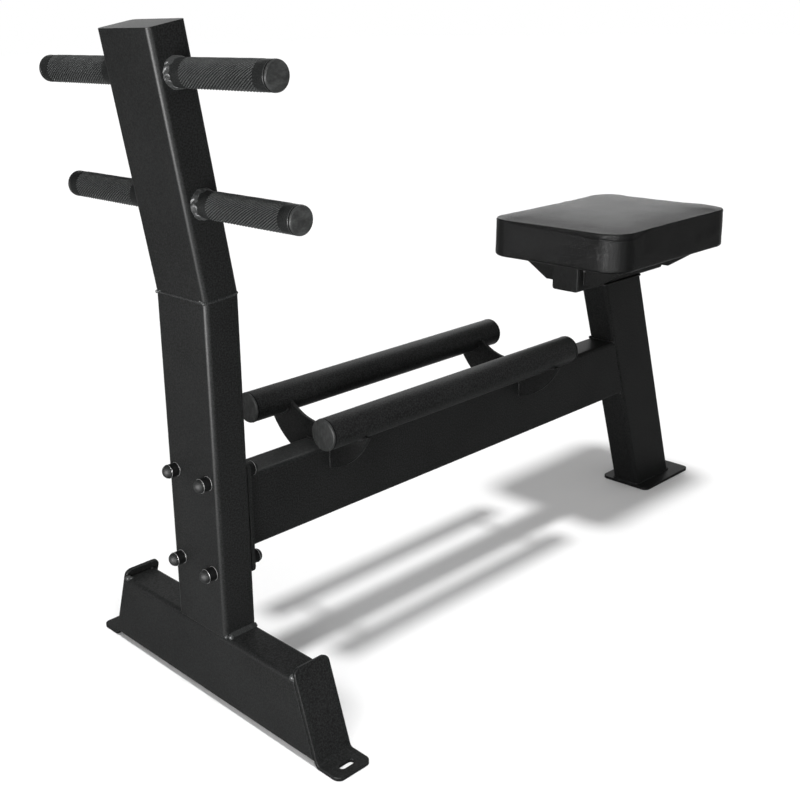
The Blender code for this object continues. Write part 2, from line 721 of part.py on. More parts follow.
def pad_screw_places():
    """Each pad screw's name, X and Y, in the middle of its bracket's flange."""
    web = SEAT_TUBE_LENGTH / 2 - BRACKET_FROM_END
    reach = web - (BRACKET_FLANGE + BRACKET_THICKNESS) / 2
    for end, forward in (("front", -1), ("rear", 1)):
        for side, sign in SIDES:
            yield f"{end}_{side}", SEAT_CENTRE + forward * reach, sign * PAD_SCREW_SPACING / 2


def pad_outline(inset, draw):
    """The pad's plan, inset by so much, with its sides drawn in between the corners."""
    length = PAD_LENGTH - 2 * inset
    width = PAD_WIDTH - 2 * inset
    radius = max(PAD_CORNER - inset, PAD_CORNER * 0.2)
    corners = rounded_rectangle(length, width, radius, PAD_CORNER_STEPS)
    per_corner = PAD_CORNER_STEPS + 1
    points = []
    for quarter in range(4):
        arc_points = corners[quarter * per_corner : (quarter + 1) * per_corner]
        following = corners[(quarter + 1) * per_corner % len(corners)]
        points += arc_points
        start = Vector(arc_points[-1])
        run = Vector(following) - start
        inward = Vector((-run.y, run.x)).normalized()
        for i in range(1, PAD_SIDE_STEPS + 1):
            share = i / (PAD_SIDE_STEPS + 1)
            points.append(tuple(start + run * share + inward * draw * math.sin(math.pi * share)))
    return points


def cushion_rings():
    """Rings from the flat ceiling over the board, out under the rim, up the sides and over the crown."""
    board_edge = COVER_MARGIN - SEAT_GAP
    ceiling = BOARD_THICKNESS + SEAT_GAP
    rings = [(board_edge, 0, ceiling), (board_edge, 0, 0), (PAD_BASE_ROLL, PAD_DRAW_IN, 0)]
    for i in range(1, 4):
        angle = math.pi / 2 * i / 3
        rings.append((PAD_BASE_ROLL * (1 - math.sin(angle)), PAD_DRAW_IN, PAD_BASE_ROLL * (1 - math.cos(angle))))
    seam = PAD_HEIGHT - SEAM_DROP
    rings.append((0, PAD_DRAW_IN, PAD_HEIGHT / 2))
    rings.append((0, PAD_DRAW_IN, seam - SEAM_DEPTH))
    rings.append((SEAM_DEPTH, PAD_DRAW_IN, seam))
    rings.append((0, PAD_DRAW_IN, seam + SEAM_DEPTH))
    for i in range(1, 4):
        angle = math.pi / 2 * i / 3
        up = PAD_HEIGHT - PAD_EDGE_ROLL * (1 - math.sin(angle))
        rings.append((PAD_EDGE_ROLL * (1 - math.cos(angle)), PAD_DRAW_IN, up))
    return rings


def make_pad(bench):
    place = (PAD_CENTRE, 0, PAD_BASE)
    rings = [[(x, y, z) for x, y in pad_outline(inset, draw)] for inset, draw, z in cushion_rings()]
    rim = rings[-1]
    for share in (0.86, 0.68, 0.46, 0.24, 0.08):
        height = PAD_HEIGHT + PAD_CROWN * (1 - share**2.2)
        rings.append([(x * share, y * share, height) for x, y, _ in rim])
    bench.add("seat_cushion", skin(rings), place, (0, 0, 0), COVER, 50)

    margin = COVER_MARGIN
    outline = rounded_rectangle(PAD_LENGTH - 2 * margin, PAD_WIDTH - 2 * margin, PAD_CORNER - margin, PAD_CORNER_STEPS)
    board = bench.add("pad_board", plate(outline, BOARD_THICKNESS), place, (0, 0, 0), PLYWOOD, 30)
    board_top = PAD_BASE + BOARD_THICKNESS
    for spot, x, y in pad_screw_places():
        drilled = pin(TEE_NUT_BARREL / 2 + SEAT_GAP, 2 * BOARD_THICKNESS, 12)
        bench.cut(board, drilled, (x, y, PAD_BASE - BOARD_THICKNESS / 2))
        sunk = pin(TEE_NUT_COLLAR / 2 + SEAT_GAP, BOARD_THICKNESS, 12)
        bench.cut(board, sunk, (x, y, board_top - TEE_NUT_COLLAR_THICKNESS - SEAT_GAP))
        bench.add(f"pad_tee_nut_{spot}", tee_nut_shape(), (x, y, board_top), (0, 0, 0), STEEL, 40)
        under = SEAT_TUBE_TOP - BRACKET_THICKNESS - SEAT_GAP
        bench.add(f"pad_screw_{spot}", pad_screw_shape(), (x, y, under), (0, 0, 0), STEEL, 40)


def tee_nut_shape():
    """A tee nut with its collar's top at local Z = 0 and its barrel below."""
    bore = PAD_SCREW_DIAMETER / 2 + SEAT_GAP
    barrel = TEE_NUT_BARREL / 2
    collar = TEE_NUT_COLLAR / 2
    under = -TEE_NUT_COLLAR_THICKNESS
    profile = [(bore, 0), (collar, 0), (collar, under), (barrel, under), (barrel, -TEE_NUT_DEPTH)]
    return turned(profile + [(bore, -TEE_NUT_DEPTH)], 12, closed=True)


def pad_screw_shape():
    """A domed screw with its bearing face at local Z = 0 and its shank above."""
    shank = PAD_SCREW_DIAMETER / 2
    head = PAD_SCREW_HEAD / 2
    crown = head * math.cos(math.pi / 4)
    edge = -PAD_SCREW_HEAD_HEIGHT * (1 - math.sin(math.pi / 4))
    profile = [(crown, -PAD_SCREW_HEAD_HEIGHT), (head, edge), (head, 0), (shank, 0), (shank, PAD_SCREW_LENGTH)]
    return turned(profile, 12)


def main():
    clear_scene()
    bench = Bench()
    make_foot(bench)
    make_upright(bench)
    make_handles(bench)
    make_beam(bench)
    make_fasteners(bench)
    make_saddles(bench)
    make_rails(bench)
    make_rear_post(bench)
    make_seat_support(bench)
    make_pad(bench)


main()
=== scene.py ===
"""Looks of the seal row bench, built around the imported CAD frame.

Metres, +Z up, in the frame of the CAD: +X runs from the upright with the handles to the pad, and the floor is
at Z = 0.
"""

import math

import bmesh
import bpy
import numpy as np
from bpy.props import FloatProperty, FloatVectorProperty, IntProperty, PointerProperty
from mathutils import Matrix, Vector, kdtree, noise


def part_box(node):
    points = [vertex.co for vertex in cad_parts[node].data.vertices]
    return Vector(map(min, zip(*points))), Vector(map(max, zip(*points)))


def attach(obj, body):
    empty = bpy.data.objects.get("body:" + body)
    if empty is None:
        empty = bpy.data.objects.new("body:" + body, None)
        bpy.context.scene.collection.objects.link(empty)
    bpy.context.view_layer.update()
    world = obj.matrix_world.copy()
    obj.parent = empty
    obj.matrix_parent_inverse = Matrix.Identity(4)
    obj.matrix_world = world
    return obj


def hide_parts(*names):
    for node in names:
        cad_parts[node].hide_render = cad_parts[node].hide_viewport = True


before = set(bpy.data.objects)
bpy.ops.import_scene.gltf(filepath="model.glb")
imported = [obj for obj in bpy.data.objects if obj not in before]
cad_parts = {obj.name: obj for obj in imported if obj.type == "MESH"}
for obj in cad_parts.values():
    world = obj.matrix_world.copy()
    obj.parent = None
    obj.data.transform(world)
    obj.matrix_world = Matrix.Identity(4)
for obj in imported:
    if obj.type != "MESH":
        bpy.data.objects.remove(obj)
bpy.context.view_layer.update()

bl_info = {
    "name": "Seal row bench",
    "version": (1, 0, 0),
    "blender": (4, 5, 0),
    "location": "View3D > Sidebar > Bench",
    "description": "Coats, upholsters and lights the bench around its CAD frame",
    "category": "Object",
}

SIDES = (("left", 1), ("right", -1))
ENDS = ("front", "rear")
SPOTS = [f"{row}_{side}" for row in ("top", "bottom") for side, _ in SIDES]
UP = Vector((0, 0, 1))
LENGTH = {"unit": "LENGTH", "precision": 4}
LOOKS = {}
TREES = {}


def centre(node):
    low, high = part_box(node)
    return (low + high) / 2


def extent(node):
    low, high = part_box(node)
    return high - low


# The frame's sizes: those that no node's box gives repeat the CAD's
TUBE_CORNER = 0.008
END_LEAN = math.radians(18.3)
UPPER_LEAN = math.radians(9.7)
POST_LEAN = math.radians(18.5)
BEND_HEIGHT = 0.644
HANDLE_RADIUS = 0.01905
HANDLE_REACH = 0.198
HANDLE_WALL = 0.004
RAIL_WALL = 0.003
PLUG_HEAD = 0.004
FOOT_LOW, FOOT_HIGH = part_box("front_foot_tube")
TUBE_NARROW = extent("front_foot_tube").x
TUBE_WIDE = extent("upright_lower_tube").y
RAIL_RADIUS = extent("rail_plug_front_left").z / 2
BEAM_LOW, BEAM_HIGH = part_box("main_beam_tube")


def frame_sizes():
    return bpy.context.scene.bench_frame


def tune(thing, **values):
    for key, value in values.items():
        setattr(thing, key, value)
    return thing


# Meshes
def new_object(name, mesh):
    obj = bpy.data.objects.new(name, mesh)
    bpy.context.scene.collection.objects.link(obj)
    return obj


def mesh_from(bm, name, sharp=None):
    mesh = bpy.data.meshes.new(name)
    bm.to_mesh(mesh)
    bm.free()
    mesh.shade_smooth()
    if sharp:
        mesh.set_sharp_from_angle(angle=math.radians(sharp))
    return mesh


def settle(obj, look, nodes=()):
    """Gives a finished piece its look and its body, and hides the CAD nodes that it stands for."""
    obj.data.materials.clear()
    obj.data.materials.append(LOOKS[look])
    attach(obj, "root")
    if nodes:
        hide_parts(*nodes)
    return obj


def paint_node(node, look):
    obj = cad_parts[node]
    obj.data.materials.clear()
    obj.data.materials.append(LOOKS[look])


def dress(node, edge, look="powder coat"):
    """A copy of a CAD node with its triangles joined and its edges rounded, in the node's place."""
    bm = bmesh.new()
    bm.from_mesh(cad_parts[node].data)
    bmesh.ops.remove_doubles(bm, verts=bm.verts, dist=1e-5)
    bmesh.ops.dissolve_limit(bm, angle_limit=math.radians(0.8), verts=bm.verts, edges=bm.edges)
    obj = new_object(f"{node}_finished", mesh_from(bm, node, 35))
    bevel = obj.modifiers.new("Rounded edges", "BEVEL")
    tune(bevel, width=edge, segments=3, limit_method="ANGLE", angle_limit=math.radians(40))
    tune(obj.modifiers.new("Flat faces stay flat", "WEIGHTED_NORMAL"), keep_sharp=True)
    settle(obj, look, [node])


def ring_skin(rings, closed=False):
    """Bridges rings of equally many points, or of one point at a pole."""
    bm = bmesh.new()
    loops = [[bm.verts.new(point) for point in ring] for ring in rings]
    followers = loops[1:] + [loops[0]] if closed else loops[1:]
    for near, far in zip(loops, followers):
        count = max(len(near), len(far))
        for i in range(count):
            j = (i + 1) % count
            corners = [near[i % len(near)], near[j % len(near)], far[j % len(far)], far[i % len(far)]]
            bm.faces.new(list(dict.fromkeys(corners)))
    if not closed:
        for loop in (loops[0], loops[-1]):
            if len(loop) > 2:
                bm.faces.new(loop)
    bmesh.ops.recalc_face_normals(bm, faces=bm.faces)
    return bm


def arc(u, v, radius, start, end, steps):
    """Points on an arc about (u, v), its ends among them."""
    angles = [start + (end - start) * i / steps for i in range(steps + 1)]
    return [(u + radius * math.cos(angle), v + radius * math.sin(angle)) for angle in angles]


def circle(u, v, radius, steps):
    return arc(u, v, radius, 0, 2 * math.pi, steps)[:-1]


def turned(profile, facets=64, closed=False):
    """Turns (radius, height) points about local Z."""
    rings = []
    for radius, height in profile:
        pole = radius < 1e-7
        rings.append([(x, y, height) for x, y in ([(0, 0)] if pole else circle(0, 0, radius, facets))])
    return ring_skin(rings, closed)


def along(direction, place):
    """Turns local Z to direction and moves the origin to place."""
    return Matrix.Translation(place) @ Vector(direction).to_track_quat("Z", "Y").to_matrix().to_4x4()


def rounded_loop(width, height, radius, steps=6):
    """The outline of a rectangle with round corners, its middle at (0, 0)."""
    points = []
    for quadrant, (su, sv) in enumerate(((1, 1), (-1, 1), (-1, -1), (1, -1))):
        start = math.pi / 2 * quadrant
        u, v = su * (width / 2 - radius), sv * (height / 2 - radius)
        points += arc(u, v, radius, start, start + math.pi / 2, steps)
    return points


def evaluated_mesh(obj):
    """The plain mesh that obj's modifiers make."""
    bpy.context.view_layer.update()
    graph = bpy.context.evaluated_depsgraph_get()
    return bpy.data.meshes.new_from_object(obj.evaluated_get(graph), depsgraph=graph)


def path_object(name, paths, closed):
    """A mesh of polylines, all open or all closed."""
    bm = bmesh.new()
    for points in paths:
        verts = [bm.verts.new(point) for point in points]
        for near, far in zip(verts, verts[1:]):
            bm.edges.new((near, far))
        if closed:
            bm.edges.new((verts[-1], verts[0]))
    mesh = bpy.data.meshes.new(name)
    bm.to_mesh(mesh)
    bm.free()
    return new_object(name, mesh)


def lay_skins(name, skins, look, sharp=None):
    """One finished piece of several bmeshes, each with the matrix that places it."""
    whole = bmesh.new()
    for bm, matrix in skins:
        part = bpy.data.meshes.new("part")
        bm.to_mesh(part)
        bm.free()
        part.transform(matrix)
        whole.from_mesh(part)
        bpy.data.meshes.remove(part)
    settle(new_object(name, mesh_from(whole, name, sharp)), look)


def turn_piece(node, made, profile, facets, place, look, sharp, closed=False):
    """Turns a profile into the piece that stands for a node."""
    piece = new_object(f"{node}_{made}", mesh_from(turned(profile, facets, closed), node, sharp))
    piece.data.transform(place)
    return settle(piece, look, [node])


def mould_plug(node, radius, wall, facets, place, look):
    """An end plug: a rounded head as wide as the tube, and a spigot in its bore."""
    rounding = bpy.context.scene.bench_handles.plug_rounding
    spigot = radius - wall - 0.0003
    back = 0.0012
    profile = [
        (0, 0),
        *arc(radius - rounding, -rounding, rounding, math.pi / 2, 0, 6),
        *arc(radius - back, back - PLUG_HEAD, back, 0, -math.pi / 2, 3),
        (spigot, -PLUG_HEAD),
        (spigot, -PLUG_HEAD - 0.016),
        (0, -PLUG_HEAD - 0.016),
    ]
    turn_piece(node, "moulded", profile, facets, place, look, 50)


# Nodes
def put(tree, socket, value):
    """Links a node's input to another node's output, or sets it."""
    if isinstance(value, bpy.types.NodeSocket):
        tree.links.new(value, socket)
    else:
        socket.default_value = value


def add_node(tree, kind, inputs=(), **settings):
    node = tune(tree.nodes.new(kind), **settings)
    for key, value in dict(inputs).items():
        put(tree, node.inputs[key], value)
    return node


class PieceTree:
    """A Geometry Nodes tree with named inputs, which sets one shape on many points."""

    def __init__(self, name, inputs):
        self.group = bpy.data.node_groups.new(name, "GeometryNodeTree")
        face = self.group.interface
        face.new_socket("Geometry", in_out="INPUT", socket_type="NodeSocketGeometry")
        for label, default in inputs.items():
            kind = "NodeSocketInt" if isinstance(default, int) else "NodeSocketFloat"
            face.new_socket(label, in_out="INPUT", socket_type=kind).default_value = default
        face.new_socket("Material", in_out="INPUT", socket_type="NodeSocketMaterial")
        face.new_socket("Geometry", in_out="OUTPUT", socket_type="NodeSocketGeometry")
        self.start = self.add("NodeGroupInput")
        self.end = self.add("NodeGroupOutput")

    def add(self, kind, inputs=(), **settings):
        return add_node(self.group, kind, inputs, **settings)

    def input(self, label):
        return self.start.outputs[label]

    def math(self, operation, first, second=0.0):
        return self.add("ShaderNodeMath", {0: first, 1: second}, operation=operation).outputs[0]

    def vector(self, x=0.0, y=0.0, z=0.0):
        return self.add("ShaderNodeCombineXYZ", {0: x, 1: y, 2: z}).outputs[0]

    def scatter(self, points, shape, **inputs):
        """Sets the shape on the points, and ends the tree in Realize Instances and Set Material."""
        inputs.update({"Points": points.outputs[0], "Instance": shape.outputs[0]})
        laid = self.add("GeometryNodeInstanceOnPoints", inputs)
        real = self.add("GeometryNodeRealizeInstances", {"Geometry": laid.outputs[0]})
        inputs = {"Geometry": real.outputs[0], "Material": self.input("Material")}
        done = self.add("GeometryNodeSetMaterial", inputs)
        put(self.group, self.end.inputs[0], done.outputs[0])
        return self.group

    def scatter_balls(self, ball, *size):
        """Sets smooth balls of a size along the input's lines, every Pitch, and turned with them."""
        line = self.add("GeometryNodeMeshToCurve", {"Mesh": self.input("Geometry")})
        inputs = {"Curve": line.outputs[0], "Length": self.input("Pitch")}
        points = self.add("GeometryNodeResampleCurve", inputs, mode="LENGTH")
        smooth = self.add("GeometryNodeSetShadeSmooth", {"Geometry": ball.outputs[0]})
        tangent = self.add("GeometryNodeInputTangent")
        turn = self.add("FunctionNodeAlignRotationToVector", {"Vector": tangent.outputs[0]}, axis="Z")
        return self.scatter(points, smooth, Rotation=turn.outputs[0], Scale=self.vector(*size))


def weld_tree():
    """Overlapping ripples, as a welder lays them."""
    tree = PieceTree("weld bead", {"Pitch": 0.0016, "Width": 0.006, "Unevenness": 0.2, "Seed": 1})
    chance = tree.add("FunctionNodeRandomValue", {"Seed": tree.input("Seed")}, data_type="FLOAT")
    limits = {
        "Min": tree.math("SUBTRACT", 1.0, tree.input("Unevenness")),
        "Max": tree.math("ADD", 1.0, tree.input("Unevenness")),
    }
    for socket in chance.inputs:
        if socket.enabled and socket.name in limits:
            put(tree.group, socket, limits[socket.name])
    random = next(socket for socket in chance.outputs if socket.enabled)
    half = tree.math("MULTIPLY", tree.math("MULTIPLY", tree.input("Width"), 0.5), random)
    run = tree.math("MULTIPLY", tree.input("Pitch"), 1.25)
    ball = tree.add("GeometryNodeMeshIcoSphere", {"Radius": 1.0, "Subdivisions": 2})
    return tree.scatter_balls(ball, half, half, run)


def knurl_tree():
    """Helical ribs about local Z between two heights."""
    inputs = {"Radius": 0.019, "From": 0.027, "To": 0.173, "Starts": 20, "Turn per Metre": 52.0, "Rib": 0.0006}
    tree = PieceTree("knurl ribs", inputs)
    inputs = {"Start": tree.vector(z=tree.input("From")), "End": tree.vector(z=tree.input("To"))}
    line = tree.add("GeometryNodeCurvePrimitiveLine", inputs)
    line = tree.add("GeometryNodeResampleCurve", {"Curve": line.outputs[0], "Count": 49}, mode="COUNT")
    place = tree.add("GeometryNodeInputPosition")
    height = tree.add("ShaderNodeSeparateXYZ", {0: place.outputs[0]}).outputs[2]
    angle = tree.math("MULTIPLY", height, tree.input("Turn per Metre"))
    x, y = (tree.math("MULTIPLY", tree.math(way, angle), tree.input("Radius")) for way in ("COSINE", "SINE"))
    inputs = {"Geometry": line.outputs[0], "Position": tree.vector(x, y, height)}
    helix = tree.add("GeometryNodeSetPosition", inputs)
    profile = tree.add("GeometryNodeCurvePrimitiveCircle", {"Resolution": 6, "Radius": tree.input("Rib")})
    inputs = {"Curve": helix.outputs[0], "Profile Curve": profile.outputs[0], "Fill Caps": True}
    rib = tree.add("GeometryNodeCurveToMesh", inputs)
    rib = tree.add("GeometryNodeSetShadeSmooth", {"Geometry": rib.outputs[0]})
    points = tree.add("GeometryNodePoints", {"Count": tree.input("Starts")})
    index = tree.add("GeometryNodeInputIndex")
    step = tree.math("DIVIDE", 2 * math.pi, tree.input("Starts"))
    spin = tree.vector(z=tree.math("MULTIPLY", index.outputs[0], step))
    return tree.scatter(points, rib, Rotation=spin)


def stitch_tree():
    """A row of stitches."""
    tree = PieceTree("stitches", {"Pitch": 0.006, "Length": 0.0042, "Thickness": 0.0009})
    ball = tree.add("GeometryNodeMeshUVSphere", {"Segments": 8, "Rings": 6, "Radius": 0.5})
    thickness = tree.input("Thickness")
    return tree.scatter_balls(ball, thickness, thickness, tree.input("Length"))


def run_tree(obj, tree, look, inputs):
    """Runs a tree on obj and keeps its result as the plain mesh of a finished piece."""
    modifier = obj.modifiers.new(tree, "NODES")
    modifier.node_group = TREES[tree]
    inputs["Material"] = LOOKS[look]
    for item in modifier.node_group.interface.items_tree:
        if item.in_out == "INPUT" and item.name in inputs:
            modifier[item.identifier] = inputs[item.name]
    result = evaluated_mesh(obj)
    obj.modifiers.remove(modifier)
    obj.data = result
    if not result.polygons:
        raise RuntimeError(f"{obj.name}: the tree {tree} made nothing")
    settle(obj, look)


# Materials
class Look:
    """A procedural material in object coordinates, kept in LOOKS by its name."""

    def __init__(self, name, roughness, specular=0.5, metallic=0.0):
        LOOKS[name] = bpy.data.materials.new(name)
        LOOKS[name].use_nodes = True
        self.tree = LOOKS[name].node_tree
        self.shader = self.tree.nodes["Principled BSDF"]
        self.set("Roughness", roughness)
        self.set("Metallic", metallic)
        self.set("Specular IOR Level", specular)
        self.place = self.add("ShaderNodeTexCoord").outputs["Object"]

    def set(self, key, value):
        put(self.tree, self.shader.inputs[key], value)

    def add(self, kind, inputs=(), **settings):
        return add_node(self.tree, kind, inputs, **settings)

    def scaled(self, scale, turn=(0, 0, 0)):
        inputs = {"Vector": self.place, "Scale": scale, "Rotation": turn}
        return self.add("ShaderNodeMapping", inputs).outputs[0]

    def noise(self, scale, detail=2.0, roughness=0.5, vector=None):
        inputs = {"Vector": vector or self.place, "Scale": scale, "Detail": detail, "Roughness": roughness}
        return self.add("ShaderNodeTexNoise", inputs).outputs["Fac"]

    def cells(self, scale, feature="F1"):
        inputs = {"Vector": self.place, "Scale": scale}
        return self.add("ShaderNodeTexVoronoi", inputs, feature=feature).outputs["Distance"]

    def spread(self, value, low, high, start=0.0, end=1.0):
        """Maps a value from start..end to low..high."""
        inputs = {"Value": value, "From Min": start, "From Max": end, "To Min": low, "To Max": high}
        return self.add("ShaderNodeMapRange", inputs).outputs[0]

    def sum(self, first, second, operation="ADD"):
        return self.add("ShaderNodeMath", {0: first, 1: second}, operation=operation).outputs[0]

    def tint(self, factor, *stops):
        """Sets the base colour by stops of (position, colour) along a factor."""
        ramp = self.add("ShaderNodeValToRGB", {"Fac": factor})
        elements = ramp.color_ramp.elements
        while len(elements) < len(stops):
            elements.new(0.5)
        for element, (position, colour) in zip(elements, stops):
            element.position = position
            element.color = (*colour, 1)
        self.set("Base Color", ramp.outputs[0])

    def relief(self, height, distance, strength, under=None):
        inputs = {"Height": height, "Distance": distance, "Strength": strength}
        if under is not None:
            inputs["Normal"] = under
        normal = self.add("ShaderNodeBump", inputs).outputs[0]
        self.set("Normal", normal)
        return normal


def times(colour, factor):
    return tuple(channel * factor for channel in colour)


def powder_coat(name, colour, roughness, grain, specular):
    """Satin powder coat: fine orange peel, slight clouding and a few specks of dust."""
    look = Look(name, roughness, specular)
    peel = look.noise(1 / grain, 3.0, 0.6)
    cloud = look.noise(9.0, 3.0)
    speck = look.spread(look.cells(55.0), 1.0, 0.0, 0.0, 0.012)
    tone = look.sum(look.spread(peel, -1.6, 1.6), look.spread(cloud, 0.2, 0.8))
    tone = look.sum(tone, 0.9, "MINIMUM")
    tone = look.sum(tone, speck, "MAXIMUM")
    stops = ((0.0, 0.55), (0.5, 1.0), (0.92, 1.5), (1.0, 3.0))
    look.tint(tone, *((position, times(colour, share)) for position, share in stops))
    look.set("Roughness", look.spread(cloud, roughness - 0.05, roughness + 0.05))
    look.relief(peel, 0.00025, 0.35)


def weld_metal(name, colour, roughness, specular):
    """The same coat over a bead: glossier on the ripples, rough between."""
    look = Look(name, roughness, specular)
    grain = look.noise(600.0, 4.0, 0.65)
    look.tint(grain, (0.3, times(colour, 0.7)), (0.7, times(colour, 1.5)))
    look.set("Roughness", look.spread(grain, roughness - 0.08, roughness + 0.12))
    look.relief(grain, 0.0005, 0.5)


def moulded_plastic(name, colour, roughness, specular, scuff):
    """Moulded plastic with a faint mottle, and scuffs where it is handled."""
    look = Look(name, roughness, specular)
    mottle = look.noise(160.0, 4.0, 0.6)
    rub = look.noise(1.0, 5.0, 0.7, look.scaled((40, 220, 90), (0.6, 0.2, 0.4)))
    tone = look.sum(look.spread(mottle, 0.0, 0.5), look.spread(rub, 0.0, scuff, 0.45, 0.75))
    look.tint(tone, (0.1, times(colour, 0.7)), (0.9, times(colour, 2.2)))
    look.set("Roughness", look.spread(rub, roughness - 0.06, roughness + 0.12))
    look.relief(mottle, 0.0002, 0.3)


def coated_fabric(name, colour, roughness, specular, grain):
    """Coated upholstery fabric with a fine leather grain."""
    look = Look(name, roughness, specular)
    bent = look.noise(1 / grain * 0.35, 2.0)
    pores = look.spread(look.cells(1 / grain, "DISTANCE_TO_EDGE"), 0.0, 1.0, 0.0, 0.25)
    cloud = look.noise(14.0, 3.0)
    tone = look.sum(look.spread(pores, 0.0, 0.45), look.spread(cloud, 0.0, 0.5))
    look.tint(tone, (0.05, times(colour, 0.4)), (0.95, times(colour, 1.6)))
    look.set("Roughness", look.spread(cloud, roughness - 0.04, roughness + 0.05))
    soft = look.relief(bent, 0.0006, 0.25)
    look.relief(pores, 0.0003, 0.8, soft)


def thread(name, colour):
    """Sewing thread with a fine twist."""
    look = Look(name, 0.75, 0.004)
    twist = look.noise(1400.0, 2.0)
    look.tint(twist, (0.3, times(colour, 0.5)), (0.7, times(colour, 1.6)))
    look.relief(twist, 0.0002, 0.6)


def zinc_plate(name):
    """Zinc-plated steel with a faint spangle."""
    look = Look(name, 0.38, metallic=1.0)
    spangle = look.noise(240.0, 3.0)
    look.tint(spangle, (0.25, (0.42, 0.42, 0.43)), (0.75, (0.62, 0.62, 0.64)))
    look.set("Roughness", look.spread(spangle, 0.28, 0.48))
    look.relief(spangle, 0.0001, 0.3)


def plywood(name):
    """Plywood with grain along X and small dark flecks."""
    look = Look(name, 0.75, 0.3)
    grain = look.noise(1.0, 5.0, 0.6, look.scaled((14, 160, 900)))
    flecks = look.noise(1.0, 2.0, 0.5, look.scaled((60, 700, 900)))
    tone = look.sum(look.spread(grain, 0.0, 0.7), look.spread(flecks, 0.0, 0.3))
    look.tint(tone, (0.3, (0.30, 0.19, 0.10)), (0.75, (0.56, 0.41, 0.25)))
    look.relief(grain, 0.0004, 0.4)


# Lighter coats: times the coat's colour, roughness, size of the texture, reflection; the lightening is painted
# light
FINE_COATS = {
    # Rings at the handles' ends, lighter than the coat: painted highlight.
    "painted rim highlight": (2.6, 0.38, 0.0012, 0.03),
    # The handles' coat is a lighter copy of the frame coat: painted light.
    "handle coat with painted light": (1.7, 0.4, 0.0012, 0.004),
    # Knurl ridges six times lighter than the coat: painted highlight.
    "knurl ridges painted highlight": (6.0, 0.38, 0.0012, 0.004),
}
# Beads: times the coat's colour, roughness, reflection; where above 1 the lighter colour is a painted
# highlight
BEADS = {
    "coated weld": (1.0, 0.38, 0.014),
    # The fillets' lighter coat is a painted highlight.
    "fillet coat with painted highlight": (1.8, 0.45, 0.014),
    # The root welds' and weld drops' lighter coat is a painted highlight.
    "root weld coat with painted highlight": (3.6, 0.40, 0.034),
}
# Plastics: colour, roughness, reflection, scuffs
PLASTICS = {
    # Darker copy of the plug plastic for the plugs under the pad: painted shade.
    "seat plug plastic painted shade": ((0.012, 0.0125, 0.0125), 0.45, 0.014, 0.3),
    # A near-black ring in the joint of plug and tube: painted shadow of the gap.
    "painted gap shadow": ((0.002, 0.002, 0.002), 0.6, 0.002, 0.1),
    "plug plastic": ((0.034, 0.035, 0.0345), 0.42, 0.016, 0.6),
    "rail plug plastic": ((0.026, 0.027, 0.0265), 0.42, 0.014, 0.4),
    "cap plastic": ((0.012, 0.0125, 0.0125), 0.55, 0.022, 0.1),
    # The skirt's copy of the cap plastic is darker: painted shade.
    "cap skirt painted shade": ((0.0055, 0.0057, 0.0057), 0.5, 0.012, 0.1),
    # A near-white ring on the caps' lips: painted highlight.
    "cap lip painted highlight": ((0.20, 0.20, 0.20), 0.35, 0.2, 0.1),
}


# Sizes and colours that a user would change
class BenchFrameSizes(bpy.types.PropertyGroup):
    """Edges, welds and coat of the steel frame"""

    edge: FloatProperty(
        name="Plate edge", description="Rounding of cut plate edges", default=0.0009, **LENGTH
    )
    rim: FloatProperty(name="Tube rim", description="Rounding of tube ends", default=0.0004, **LENGTH)
    weld_width: FloatProperty(
        name="Weld width", description="Width of the usual weld bead", default=0.004, **LENGTH
    )
    weld_pitch: FloatProperty(
        name="Weld ripple", description="Spacing of a weld's ripples", default=0.0017, **LENGTH
    )
    coat: FloatVectorProperty(
        name="Coat", description="Colour of the coat", subtype="COLOR", default=(0.0125, 0.0130, 0.0129)
    )
    roughness: FloatProperty(
        name="Coat roughness", description="Gloss of the coat", default=0.42, min=0, max=1
    )
    grain: FloatProperty(name="Coat texture", description="Size of the orange peel", default=0.0025, **LENGTH)
    specular: FloatProperty(
        name="Coat reflection", description="Reflection level", default=0.014, min=0, max=1
    )


class BenchHandleSizes(bpy.types.PropertyGroup):
    """Knurling and ends of the handles"""

    knurl_from: FloatProperty(
        name="Knurl start", description="Plain band at the root", default=0.0285, **LENGTH
    )
    knurl_to: FloatProperty(name="Knurl end", description="Where the knurl stops", default=0.173, **LENGTH)
    starts: IntProperty(name="Knurl starts", description="Ribs about the handle", default=33, min=4, max=80)
    angle: FloatProperty(
        name="Knurl angle", description="Slope of the ribs", default=math.radians(31), subtype="ANGLE"
    )
    rib: FloatProperty(name="Rib", description="Radius of a knurl rib", default=0.0009, **LENGTH)
    plug_rounding: FloatProperty(
        name="Plug rounding", description="Rounding of a plug's face", default=0.0026, **LENGTH
    )
    root_ripples: IntProperty(
        name="Root ripples", description="Ripples about a root weld", default=10, min=4, max=60
    )


class BenchPadSizes(bpy.types.PropertyGroup):
    """Cover, seam and softness of the pad"""

    cover: FloatVectorProperty(
        name="Cover", description="Colour of the cover", subtype="COLOR", default=(0.0048, 0.0050, 0.0049)
    )
    grain: FloatProperty(name="Grain", description="Size of the cover's grain", default=0.0018, **LENGTH)
    seam_low: FloatProperty(
        name="Seam, low", description="Seam below the rim at the near corner", default=0.0136, **LENGTH
    )
    seam_high: FloatProperty(
        name="Seam, high", description="Seam below the rim elsewhere", default=0.0026, **LENGTH
    )
    stitch_pitch: FloatProperty(
        name="Stitch pitch", description="Spacing of stitches", default=0.0054, **LENGTH
    )
    pressure: FloatProperty(name="Pressure", description="Pressure of the foam", default=4.0)
    swell: FloatProperty(name="Swell", description="How far the cover may move", default=0.005, **LENGTH)


